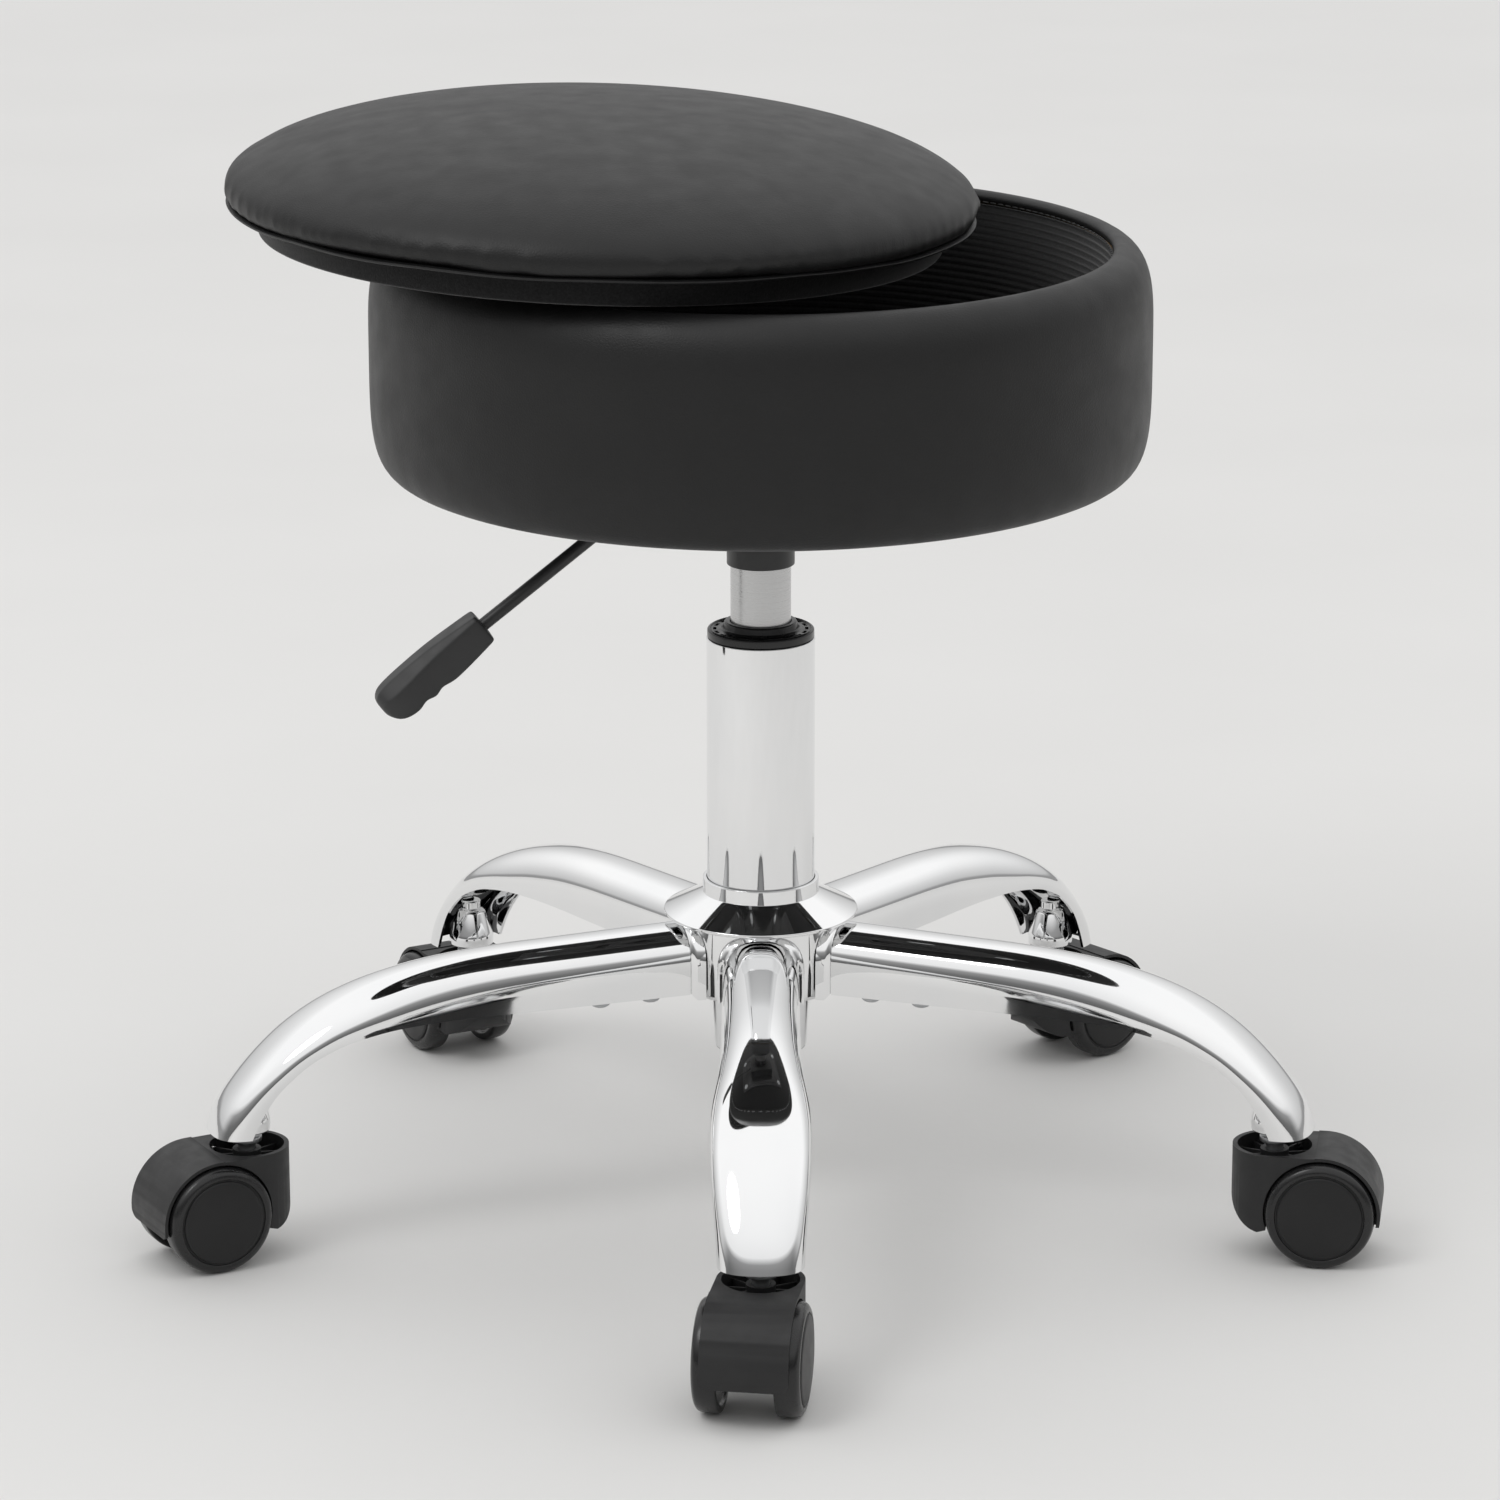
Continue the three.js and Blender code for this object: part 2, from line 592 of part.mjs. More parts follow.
// ---------------------------------------------------------------- casters
// In a caster's own frame the stem is on Z and the wheels trail along +X.
function hoodSolid() {
  const axle = [CASTER_TRAIL, WHEEL_RADIUS];
  const fender = arc(axle, FENDER_RADIUS, FENDER_END_ANGLE, 90, 7);
  const outline = [
    [-CUP_RADIUS, 30],
    ...arc([-CUP_RADIUS + 15, 30], 15, 180, 262, 5),
    [-1, 17],
    [38, 17],
    [42, fender[0][1]],
    ...fender,
    [CUP_RADIUS, FENDER_RADIUS + WHEEL_RADIUS],
    [CUP_RADIUS, CUP_RIM],
    [-CUP_RADIUS, CUP_RIM],
  ].filter(([x, z], i, all) => i === 0 || Math.hypot(x - all[i - 1][0], z - all[i - 1][1]) > 0.01);
  const plan = join(disc(CUP_RADIUS, 0, 60), block([0, 60], [-CUP_RADIUS, CUP_RADIUS], [0, 60]));
  const body = slab(outline, 2 * CUP_RADIUS).intersect(plan);
  const wells = [-1, 1].map((side) => {
    const faces = [side * WEB_HALF, side * (CUP_RADIUS + 2)].sort((a, b) => a - b);
    return crossPin(WELL_RADIUS, ...axle, ...faces, MEDIUM);
  });
  const recess = ring(6.5, CUP_RADIUS - 2, CUP_FLOOR, CUP_RIM + 5, WHEEL_FACETS);
  const bossTop = disc(8, CUP_RIM - 2, CUP_RIM + 5, COARSE);
  const stemBore = disc(STEM_RADIUS + GAP, STEM_BOTTOM - GAP, CUP_RIM + 5, COARSE);
  const axleBore = crossPin(AXLE_RADIUS + GAP, ...axle, -20, 20);
  return cut(body, ...wells, recess, bossTop, stemBore, axleBore);
}

// A wheel about Y, its tread on the inner side and a domed disc closing its outer side.
function wheelSolid(side) {
  const inner = WHEEL_INNER_FACE;
  const outer = WHEEL_OUTER_FACE;
  const r = WHEEL_RADIUS;
  const bore = AXLE_RADIUS + GAP;
  const profile = [
    [bore, inner],
    [r, inner],
    [r, outer - 4.2],
    [r - 1.5, outer - 2.2],
    [19.8, outer - 1.2],
    [0, outer],
    [0, outer - 3],
    [bore, outer - 3],
  ];
  return lathe(profile, WHEEL_FACETS).rotate([side > 0 ? -90 : 90, 0, 0]).translate([CASTER_TRAIL, 0, r]);
}

function addCasters() {
  const hood = hoodSolid();
  const stem = join(
    disc(STEM_RADIUS, STEM_BOTTOM, STEM_TOP, COARSE),
    disc(7, 54.2, 56.2, COARSE),
  );
  const axle = crossPin(AXLE_RADIUS, CASTER_TRAIL, WHEEL_RADIUS, -WHEEL_OUTER_FACE + 4, WHEEL_OUTER_FACE - 4);
  const wheels = { left: wheelSolid(1), right: wheelSolid(-1) };
  LEG_AZIMUTHS.forEach((azimuth, i) => {
    const caster = new THREE.Group();
    const angle = radians(azimuth);
    caster.position.set(CASTER_REACH * Math.cos(angle), CASTER_REACH * Math.sin(angle), -LEVEL);
    caster.rotation.z = radians(CASTER_TRAIL_AZIMUTHS[i]);
    base.add(caster);
    const label = `caster_${i + 1}`;
    place(caster, `${label}_hood`, hood, NYLON);
    place(caster, `${label}_stem`, stem, STEEL);
    place(caster, `${label}_axle`, axle, STEEL);
    place(caster, `${label}_wheel_left`, wheels.left, GLOSS_PLASTIC);
    place(caster, `${label}_wheel_right`, wheels.right, GLOSS_PLASTIC);
  });
}

addLegs();
addHub();
addColumn();
addGasLift();
addSeatPlate();
addBolts();
addLever();
addBox();
addLid();
addCasters();

export default stool;
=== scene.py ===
"""Looks of the rolling stylist stool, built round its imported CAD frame.

Each piece is modelled in millimetres in its own frame, and settle() carries it to metres in the
row frame, where the CAD says that the piece is.
"""
import math

import bmesh
import bpy
import numpy as np
from mathutils import Matrix, Vector, noise


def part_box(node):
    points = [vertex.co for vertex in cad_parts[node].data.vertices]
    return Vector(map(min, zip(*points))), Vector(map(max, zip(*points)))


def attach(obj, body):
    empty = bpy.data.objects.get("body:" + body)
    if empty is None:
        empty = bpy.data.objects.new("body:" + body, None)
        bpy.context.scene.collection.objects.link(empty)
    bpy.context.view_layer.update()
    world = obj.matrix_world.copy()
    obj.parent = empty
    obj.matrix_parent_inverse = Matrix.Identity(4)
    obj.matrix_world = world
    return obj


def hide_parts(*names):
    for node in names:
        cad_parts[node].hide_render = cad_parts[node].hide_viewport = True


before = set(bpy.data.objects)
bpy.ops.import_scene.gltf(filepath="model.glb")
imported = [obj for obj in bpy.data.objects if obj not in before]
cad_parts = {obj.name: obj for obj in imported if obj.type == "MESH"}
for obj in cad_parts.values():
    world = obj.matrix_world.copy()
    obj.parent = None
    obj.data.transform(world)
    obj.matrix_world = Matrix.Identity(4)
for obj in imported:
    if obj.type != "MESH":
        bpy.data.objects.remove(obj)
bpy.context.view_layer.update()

# ------------------------------------------------------------------------------ places
MM = 0.001
TURN = 2 * math.pi
LEGS = range(1, 6)
COLUMN_TOP = 273.7
MECHANISM_TURN = math.radians(12)  # the parts under the seat are turned round the column
LID_PLACE = (-71.5, 0, 473)
LID_TILT = math.radians(1.95)


def centre(node):
    low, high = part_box(node)
    return (low + high) / 2


def turned_to(azimuth):
    return Matrix.Rotation(azimuth, 4, "Z")


column_axis = centre("column_tube")
# Heights above the casters are measured from LEVEL.
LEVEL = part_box("column_tube")[1].z - COLUMN_TOP * MM
COLUMN = Matrix.Translation((column_axis.x, column_axis.y, LEVEL)) @ Matrix.Scale(MM, 4)
MECHANISM = COLUMN @ turned_to(MECHANISM_TURN)
LID = COLUMN @ Matrix.Translation(LID_PLACE) @ Matrix.Rotation(LID_TILT, 4, "Y")


def leg_frame(i):
    """X runs out along leg i."""
    stem = centre(f"caster_{i}_stem") - column_axis
    return COLUMN @ turned_to(math.atan2(stem.y, stem.x))


def caster_frame(i):
    """Z is the stem's axis, and the wheels trail along X."""
    stem = centre(f"caster_{i}_stem")
    trail = centre(f"caster_{i}_axle") - stem
    place = Matrix.Translation((stem.x, stem.y, 0)) @ Matrix.Scale(MM, 4)
    return place @ turned_to(math.atan2(trail.y, trail.x))


# ------------------------------------------------------------------------------ outlines
def rounded(corners, steps=4):
    """An outline of (r, z) corners; one given as (r, z, f) is rounded from f before to f after."""
    outline = []
    for i, (r, z, *f) in enumerate(corners):
        if not f:
            outline.append((r, z))
            continue
        here = np.array((r, z), float)
        ends = []
        for other in (corners[i - 1], corners[(i + 1) % len(corners)]):
            along = np.array(other[:2], float) - here
            ends.append(here + along * f[0] / np.linalg.norm(along))
        for t in np.linspace(0, 1, steps + 1):
            point = (1 - t) ** 2 * ends[0] + 2 * t * (1 - t) * here + t * t * ends[1]
            outline.append(tuple(point))
    return outline


def arc(centre_point, radius, start, end, steps):
    angles = np.radians(np.linspace(start, end, steps + 1))
    x, z = centre_point
    return [(x + radius * math.cos(a), z + radius * math.sin(a)) for a in angles]


def soft_corner(radius, z, drop, inset, power, side, steps):
    """Leaves a vertical side at (radius, z) and ends level, inset and drop away."""
    points = []
    for a in np.linspace(0, math.pi / 2, steps + 1):
        across = inset * (1 - max(math.cos(a), 0) ** (2 / power))
        points.append((radius - across, z + side * drop * math.sin(a) ** (2 / power)))
    return points


def bezier(points, t):
    a, b, c, d = (np.array(p, float) for p in points)
    s = 1 - t
    return s**3 * a + 3 * s * s * t * b + 3 * s * t * t * c + t**3 * d


def resampled(points, step):
    """The same line with points about step apart."""
    p = np.array(points, float)
    run = np.concatenate([[0], np.cumsum(np.linalg.norm(np.diff(p, axis=0), axis=1))])
    at = np.linspace(0, run[-1], max(2, round(run[-1] / step) + 1))
    return [tuple(q) for q in np.stack([np.interp(at, run, p[:, k]) for k in range(p.shape[1])], 1)]


def softened(values, sigma):
    """Values along the first axis, blurred over sigma samples, with both ends held."""
    reach = int(3 * sigma)
    weights = np.exp(-0.5 * (np.arange(-reach, reach + 1) / sigma) ** 2)
    weights /= weights.sum()
    v = np.asarray(values, float)
    before = 2 * v[0] - v[reach:0:-1]
    after = 2 * v[-1] - v[-2 : -reach - 2 : -1]
    padded = np.concatenate([before, v, after])
    columns = padded.reshape(len(padded), -1).T
    return np.stack([np.convolve(c, weights, "valid") for c in columns], 1).reshape(v.shape)


# ------------------------------------------------------------------------------ solids
def solid(name, verts, faces):
    mesh = bpy.data.meshes.new(name)
    mesh.from_pydata([tuple(map(float, v)) for v in verts], [], faces)
    bm = bmesh.new()
    bm.from_mesh(mesh)
    bmesh.ops.remove_doubles(bm, verts=bm.verts, dist=1e-4)
    bmesh.ops.dissolve_degenerate(bm, dist=1e-4, edges=bm.edges)
    bmesh.ops.recalc_face_normals(bm, faces=bm.faces)
    bm.to_mesh(mesh)
    bm.free()
    obj = bpy.data.objects.new(name, mesh)
    bpy.context.scene.collection.objects.link(obj)
    return obj


def lathe(name, profile, segments=96):
    """A profile of (radius, height) turned about Z. It ends on the axis or closes on itself."""
    count = len(profile)
    loop = profile[0][0] > 0 or profile[-1][0] > 0
    verts, faces = [], []
    for i in range(segments):
        c, s = math.cos(TURN * i / segments), math.sin(TURN * i / segments)
        verts += [(r * c, r * s, z) for r, z in profile]
        a, b = i * count, (i + 1) % segments * count
        for k in range(count if loop else count - 1):
            m = (k + 1) % count
            faces.append((a + k, b + k, b + m, a + m))
    return solid(name, verts, faces)


def loft(name, loops, hollow=False):
    """Equal closed loops of points, joined one to the next and closed at both ends.
    A hollow section runs out along one side of a sheet and back along the other."""
    count = len(loops[0])
    faces = []
    for s in range((len(loops) - 1) * count):
        t = s + 1 if (s + 1) % count else s + 1 - count
        faces.append((s, t, t + count, s + count))
    for end in (0, (len(loops) - 1) * count):
        if hollow:
            faces += [(end + k, end + k + 1, end + count - 2 - k, end + count - 1 - k)
                      for k in range(count // 2 - 1)]
        else:
            faces.append(tuple(range(end, end + count)))
    return solid(name, [p for loop in loops for p in loop], faces)


def slab(name, outline, low, high, axis="Y"):
    """An outline of (x, z), or of (y, z) for axis X, or (x, y) for axis Z, extruded along axis."""
    at = {
        "Y": lambda u, v, w: (u, w, v),
        "X": lambda u, v, w: (w, u, v),
        "Z": lambda u, v, w: (u, v, w),
    }[axis]
    return loft(name, [[at(u, v, w) for u, v in outline] for w in (low, high)])


def block(name, x, y, z):
    return slab(name, [(x[0], y[0]), (x[1], y[0]), (x[1], y[1]), (x[0], y[1])], *z, axis="Z")


def move(obj, matrix):
    obj.data.transform(matrix)
    return obj


def baked(obj):
    """Applies the modifiers."""
    bpy.context.view_layer.update()
    shape = obj.evaluated_get(bpy.context.evaluated_depsgraph_get())
    mesh = bpy.data.meshes.new_from_object(shape)
    obj.modifiers.clear()
    old, obj.data = obj.data, mesh
    bpy.data.meshes.remove(old)
    return obj


def combine(obj, operation, *others):
    for other in others:
        step = obj.modifiers.new("combine", "BOOLEAN")
        step.operation, step.solver, step.object = operation, "MANIFOLD", other
        baked(obj)
        bpy.data.objects.remove(other)
    return obj


def cut(obj, *others):
    return combine(obj, "DIFFERENCE", *others)


def fuse(obj, *others):
    return combine(obj, "UNION", *others)


def bevelled(obj, width, segments=3, angle=32):
    step = obj.modifiers.new("bevel", "BEVEL")
    step.width, step.segments = width, segments
    step.limit_method, step.angle_limit = "ANGLE", math.radians(angle)
    step.use_clamp_overlap = True
    return baked(obj)


def subdivided(obj, levels):
    step = obj.modifiers.new("smooth", "SUBSURF")
    step.levels = step.render_levels = levels
    return baked(obj)


def gathered(name, *objs):
    """Several solids as one object."""
    first, *rest = objs
    bm = bmesh.new()
    for o in objs:
        bm.from_mesh(o.data)
    bm.to_mesh(first.data)
    bm.free()
    for o in rest:
        bpy.data.objects.remove(o)
    first.name = first.data.name = name
    return first


def copied(obj, name):
    twin = bpy.data.objects.new(name, obj.data.copy())
    bpy.context.scene.collection.objects.link(twin)
    return twin


def settle(obj, name, matrix, body, look=None, stands_for=(), sharp=32):
    """Carries a finished piece to its place, and gives it its body, material and nodes.
    A piece with no look keeps the materials it came with."""
    obj.name = obj.data.name = name
    obj.data.transform(matrix)
    obj.data.shade_smooth()
    obj.data.set_sharp_from_angle(angle=math.radians(sharp))
    if look:
        obj.data.materials.clear()
        obj.data.materials.append(look)
        obj.data.polygons.foreach_set("material_index", [0] * len(obj.data.polygons))
    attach(obj, body)
    if stands_for:
        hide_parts(*stands_for)
    return obj


# ------------------------------------------------------------------------------ materials
def material(name, **shader):
    """A Principled material, its even values set on the shader's own sockets."""
    made = bpy.data.materials.new(name)
    made.use_nodes = True
    principled = made.node_tree.nodes["Principled BSDF"]
    for socket, value in shader.items():
        principled.inputs[socket.replace("_", " ")].default_value = value
    return made


def node(mat, kind, **inputs):
    made = mat.node_tree.nodes.new(kind)
    for name, value in inputs.items():
        name = name.replace("_", " ")
        if isinstance(value, bpy.types.NodeSocket):
            mat.node_tree.links.new(value, made.inputs[name])
        else:
            made.inputs[name].default_value = value
    return made


def place_of(mat, stretch=(1, 1, 1)):
    """Object coordinates in metres, stretched along the axes."""
    place = node(mat, "ShaderNodeTexCoord").outputs["Object"]
    return node(mat, "ShaderNodeMapping", Vector=place, Scale=stretch).outputs[0]


def noise_of(mat, scale, detail=3.0, stretch=(1, 1, 1), distortion=0.0):
    made = node(mat, "ShaderNodeTexNoise", Vector=place_of(mat, stretch), Scale=scale,
                Detail=detail, Distortion=distortion)
    return made.outputs["Fac"]


def spread(mat, value, low, high, start=0.3, end=0.7):
    """A value from start to end, spread from low to high."""
    made = node(mat, "ShaderNodeMapRange", Value=value)
    for socket, number in zip(("From Min", "From Max", "To Min", "To Max"), (start, end, low, high)):
        made.inputs[socket].default_value = number
    return made.outputs[0]


def tinted(mat, factor, dark, light):
    """Colours the material between dark and light by factor."""
    ramp = node(mat, "ShaderNodeValToRGB", Fac=factor)
    ends = ramp.color_ramp.elements
    ends[0].position, ends[1].position = 0.3, 0.7
    ends[0].color, ends[1].color = (*dark, 1), (*light, 1)
    shader = mat.node_tree.nodes["Principled BSDF"]
    mat.node_tree.links.new(ramp.outputs[0], shader.inputs["Base Color"])


def rough(mat, factor, low, high):
    shader = mat.node_tree.nodes["Principled BSDF"]
    mat.node_tree.links.new(spread(mat, factor, low, high), shader.inputs["Roughness"])


def bumped(mat, *layers):
    """Each layer is a height, a strength and a depth in metres."""
    normal = None
    for height, strength, depth in layers:
        bump = node(mat, "ShaderNodeBump", Strength=strength, Distance=depth, Height=height)
        if normal is not None:
            mat.node_tree.links.new(normal, bump.inputs["Normal"])
        normal = bump.outputs[0]
    shader = mat.node_tree.nodes["Principled BSDF"]
    mat.node_tree.links.new(normal, shader.inputs["Normal"])


def cells_of(mat, scale):
    """Pebbled cells, their outlines bent by noise."""
    warp = 0.35  # of a cell's width
    place = place_of(mat)
    bend = node(mat, "ShaderNodeTexNoise", Vector=place, Scale=scale * 0.7, Detail=2.0)
    offset = node(mat, "ShaderNodeVectorMath", Vector=bend.outputs["Color"])
    offset.operation = "MULTIPLY_ADD"
    offset.inputs[1].default_value = (warp / scale,) * 3
    mat.node_tree.links.new(place, offset.inputs[2])
    cells = node(mat, "ShaderNodeTexVoronoi", Vector=offset.outputs[0], Scale=scale)
    cells.feature = "DISTANCE_TO_EDGE"
    return cells.outputs["Distance"]


def make_chrome(name):
    mat = material(name, Metallic=1.0)
    tinted(mat, noise_of(mat, 18.0), (0.83, 0.835, 0.84), (0.86, 0.86, 0.86))
    rough(mat, noise_of(mat, 90.0, 5.0), 0.025, 0.06)
    bumped(mat, (noise_of(mat, 24.0, 1.0), 0.04, 0.0006))
    return mat


def make_satin(name, tone, low, high, stretch):
    """Turned or drawn metal: the fine lines run across the stretched axis."""
    mat = material(name, Metallic=1.0)
    lines = noise_of(mat, 160.0, 4.0, stretch)
    tinted(mat, lines, tuple(c * 0.86 for c in tone), tone)
    rough(mat, lines, low, high)
    bumped(mat, (lines, 0.25, 0.00004))
    return mat


def make_plastic(name, dark, light, low, high, grain, depth, strength=0.3, specular=0.5):
    mat = material(name, Specular_IOR_Level=specular)
    tinted(mat, noise_of(mat, 45.0), dark, light)
    rough(mat, noise_of(mat, 130.0, 4.0), low, high)
    bumped(mat, (noise_of(mat, grain, 3.0), strength, depth))
    return mat


def make_leather(name, dark, light):
    mat = material(name, Specular_IOR_Level=0.42)
    tinted(mat, noise_of(mat, 26.0, 4.0), dark, light)
    rough(mat, noise_of(mat, 70.0, 4.0), 0.44, 0.52)
    pebble = spread(mat, cells_of(mat, 760.0), 0.0, 1.0, 0.0, 0.32)
    bumped(mat, (noise_of(mat, 14.0, 2.0), 0.12, 0.0005), (pebble, 0.42, 0.00011),
           (noise_of(mat, 2600.0, 2.0), 0.2, 0.00005))
    return mat


def make_lining(name):
    mat = material(name, Specular_IOR_Level=0.15, Sheen_Weight=0.35, Sheen_Roughness=0.5)
    tinted(mat, noise_of(mat, 900.0, 4.0), (0.004, 0.004, 0.0042), (0.013, 0.013, 0.0135))
    rough(mat, noise_of(mat, 300.0), 0.85, 0.98)
    bumped(mat, (noise_of(mat, 1500.0, 3.0), 0.6, 0.0003), (cells_of(mat, 1100.0), 0.4, 0.0002))
    return mat


def make_plywood(name):
    mat = material(name, Specular_IOR_Level=0.3)
    grain = noise_of(mat, 22.0, 6.0, (1.0, 9.0, 9.0), 0.8)
    tinted(mat, grain, (0.33, 0.2, 0.09), (0.56, 0.38, 0.2))
    rough(mat, grain, 0.6, 0.8)
    bumped(mat, (grain, 0.3, 0.0003))
    return mat


CHROME = make_chrome("chrome_plate")
SATIN = make_satin("satin_cylinder", (0.6, 0.6, 0.6), low=0.24, high=0.34, stretch=(0.1, 0.1, 14))
ZINC = make_satin("zinc_steel", (0.55, 0.56, 0.57), low=0.3, high=0.42, stretch=(1, 1, 4))
PAINTED = make_plastic("black_painted_steel", (0.012, 0.012, 0.012), (0.018, 0.018, 0.019),
                       low=0.32, high=0.42, grain=900.0, depth=0.00006)
NYLON = make_plastic("moulded_nylon", (0.013, 0.013, 0.0135), (0.018, 0.018, 0.0185),
                     low=0.46, high=0.58, grain=1700.0, depth=0.00007, strength=0.4, specular=0.45)
GRIP = make_plastic("grip_plastic", (0.022, 0.022, 0.0225), (0.028, 0.028, 0.0285),
                    low=0.42, high=0.52, grain=1500.0, depth=0.00006, strength=0.35, specular=0.5)
TREAD = make_plastic("wheel_tread", (0.008, 0.008, 0.0084), (0.012, 0.012, 0.0125),
                     low=0.2, high=0.3, grain=300.0, depth=0.00005, strength=0.15, specular=0.5)
CAP = make_plastic("wheel_cap", (0.006, 0.006, 0.0063), (0.009, 0.009, 0.0094),
                   low=0.38, high=0.46, grain=1200.0, depth=0.00005, strength=0.3, specular=0.42)
LEATHER = make_leather("black_leather", (0.0042, 0.0042, 0.0044), (0.0056, 0.0056, 0.0058))
LINING = make_lining("lining_cloth")
PLYWOOD = make_plywood("birch_plywood")

# ------------------------------------------------------------------------------ legs
LEG_WALL = 1.5
LEG_ROOT = 39.8
LEG_ROOT_WIDTH = 35.5
LEG_ROOT_TOP = 139.5
LEG_ROOT_BOTTOM = 110
STRAIGHT_END = 112
STEM_REACH = 247
LEG_WIDTHS = ((0, LEG_ROOT_WIDTH), (110, LEG_ROOT_WIDTH), (151, 36.8), (178, 40), (195, 43.6),
              (210, 44.7), (229, 43.9), (242, 42.1), (254, 40.1), (266, 37.8))
LEG_TOP = ((115, 137), (185, 134.9), (225, 122), (262, 72))  # control points of the bend
LEG_BOTTOM = ((118, 109.5), (138, 109.7), (161, 109.6), (184, 108.5), (204, 104.8), (221.5, 97),
              (236.5, 84), (245, 70.5))
TIP_TOP = (264.6, 62)
TIP_BOTTOM = (248.5, 62)
SIDE_SHARE = ((40, 0.4), (110, 0.3), (190, 0.1))  # straight part of a section's side, along the leg
PLATE_WIDTHS = ((LEG_ROOT + 0.2, 1), (60, 1), (88, 1), (94, 0.93), (98, 0.75), (100, 0.45))
PLATE_THICKNESS = 1.6
SCREWS = ((54, 110), (78.2, 109.8))


def straight_top(x):
    return LEG_ROOT_TOP - 2.5 * (x - 36) / 79


def straight_bottom(x):
    return LEG_ROOT_BOTTOM - (x - 36) / 150


def leg_edges():
    """Top and bottom points of the sections along a leg, and half its width there.
    The bottom runs ahead of the top before the bend, so the sections fan out evenly."""
    top, bottom = [], []
    for x in np.linspace(LEG_ROOT, STRAIGHT_END, 24):
        ahead = 3 * max(0, (x - 85) / 27) ** 2
        top.append(np.array((x, straight_top(x))))
        bottom.append(np.array((x + ahead, straight_bottom(x))))
    low_x, low_z = zip(*LEG_BOTTOM)
    stations = range(len(LEG_BOTTOM))
    for t in np.linspace(0, 1, 64):
        k = t * stations[-1]
        top.append(bezier(LEG_TOP, t))
        bottom.append(np.array((np.interp(k, stations, low_x), np.interp(k, stations, low_z))))
    top.append(np.array(TIP_TOP, float))
    bottom.append(np.array(TIP_BOTTOM, float))
    joined = resampled(np.hstack([top, bottom]), 3.2)
    joined = softened(joined, 2.5)
    widths = np.interp(joined[:, 0], *zip(*LEG_WIDTHS))
    return joined[:, :2], joined[:, 2:], softened(widths, 3.5) / 2


def arch(half, height, steps=30, straight=0.42):
    """Straight sides and a rounded crown, from one foot over the top to the other."""
    shoulder = straight * height
    feet = [(half, shoulder * f) for f in (0, 0.3, 0.6, 0.85)]
    crown = []
    for a in np.linspace(0, math.pi, steps + 1):
        across = math.copysign(abs(math.cos(a)) ** 0.8, math.cos(a))
        crown.append((half * across, shoulder + (height - shoulder) * math.sin(a) ** 0.8))
    return feet + crown + [(-y, u) for y, u in reversed(feet)]


def leg_shape():
    """A thin arched shell, open below, with a flat plate that closes its root."""
    loops = []
    for top, bottom, half in zip(*leg_edges()):
        up = top - bottom
        height = np.linalg.norm(up)
        up = up / height
        straight = np.interp(top[0], *zip(*SIDE_SHARE))
        outer = arch(half, height, straight=straight)
        inner = arch(half - LEG_WALL, height - LEG_WALL, straight=straight)[::-1]
        loops.append([(bottom[0] + up[0] * u, y, bottom[1] + up[1] * u) for y, u in outer + inner])
    shell = loft("shell", loops, hollow=True)
    half = LEG_ROOT_WIDTH / 2 - LEG_WALL
    corners = ((-1, 0), (1, 0), (1, PLATE_THICKNESS), (-1, PLATE_THICKNESS))
    plate = loft("plate", [[(x, half * w * s, straight_bottom(x) + 0.05 + h) for s, h in corners]
                           for x, w in PLATE_WIDTHS])
    return gathered("leg", shell, plate)


def screw_shape():
    """A tall domed head with a cross recess, hanging below Z = 0."""
    head = lathe("screw", rounded([
        (0, 0), (5.8, 0), (5.8, -1.2, 0.3), (5.2, -1.4, 0.2), (5.2, -5, 1.4), (3.4, -7, 1.4),
        (0, -7.4)]), 40)
    arms = [block("arm", (-2.6, 2.6), (-0.55, 0.55), (-9, -5.4)) for _ in range(2)]
    move(arms[1], turned_to(math.pi / 2))
    return cut(head, *arms)


leg, screw = leg_shape(), screw_shape()
for i in LEGS:
    settle(copied(leg, "leg"), f"steel_leg_{i}", leg_frame(i), "base", CHROME,
           stands_for=[f"leg_{i}"], sharp=40)
    for k, (x, z) in enumerate(SCREWS, 1):
        spot = leg_frame(i) @ Matrix.Translation((x, 0, z)) @ turned_to(0.7 * i + 1.9 * k)
        settle(copied(screw, "screw"), f"leg_{i}_screw_{k}", spot, "base", ZINC)
    socket = lathe("socket", rounded([
        (4.3, 61.6), (11, 61.6, 0.6), (11, 66.4, 1.5), (6.8, 79.2, 1.4), (4.9, 79.9, 0.6),
        (4.9, 84.3, 1.1), (0, 84.5)]) + [(0, 76.3), (4.3, 76.3)], 48)
    settle(socket, f"stem_socket_{i}", leg_frame(i) @ Matrix.Translation((STEM_REACH, 0, 0)),
           "base", CHROME, stands_for=[f"caster_socket_{i}"])
for spare in (leg, screw):
    bpy.data.objects.remove(spare)

# ------------------------------------------------------------------------------ hub and column
HUB_TOP = 141.5
HUB_ARM = ((30, 90), (-11, 11), (112.5, 126.5))
STUB_LOW, STUB_HIGH = 107.3, 141.3
STUB = ((33, 2.4), (37, 2.3), (38.1, 1.3), (38.9, 0.3), (39.6, -0.6), (41, -1.5), (60, -1.6))


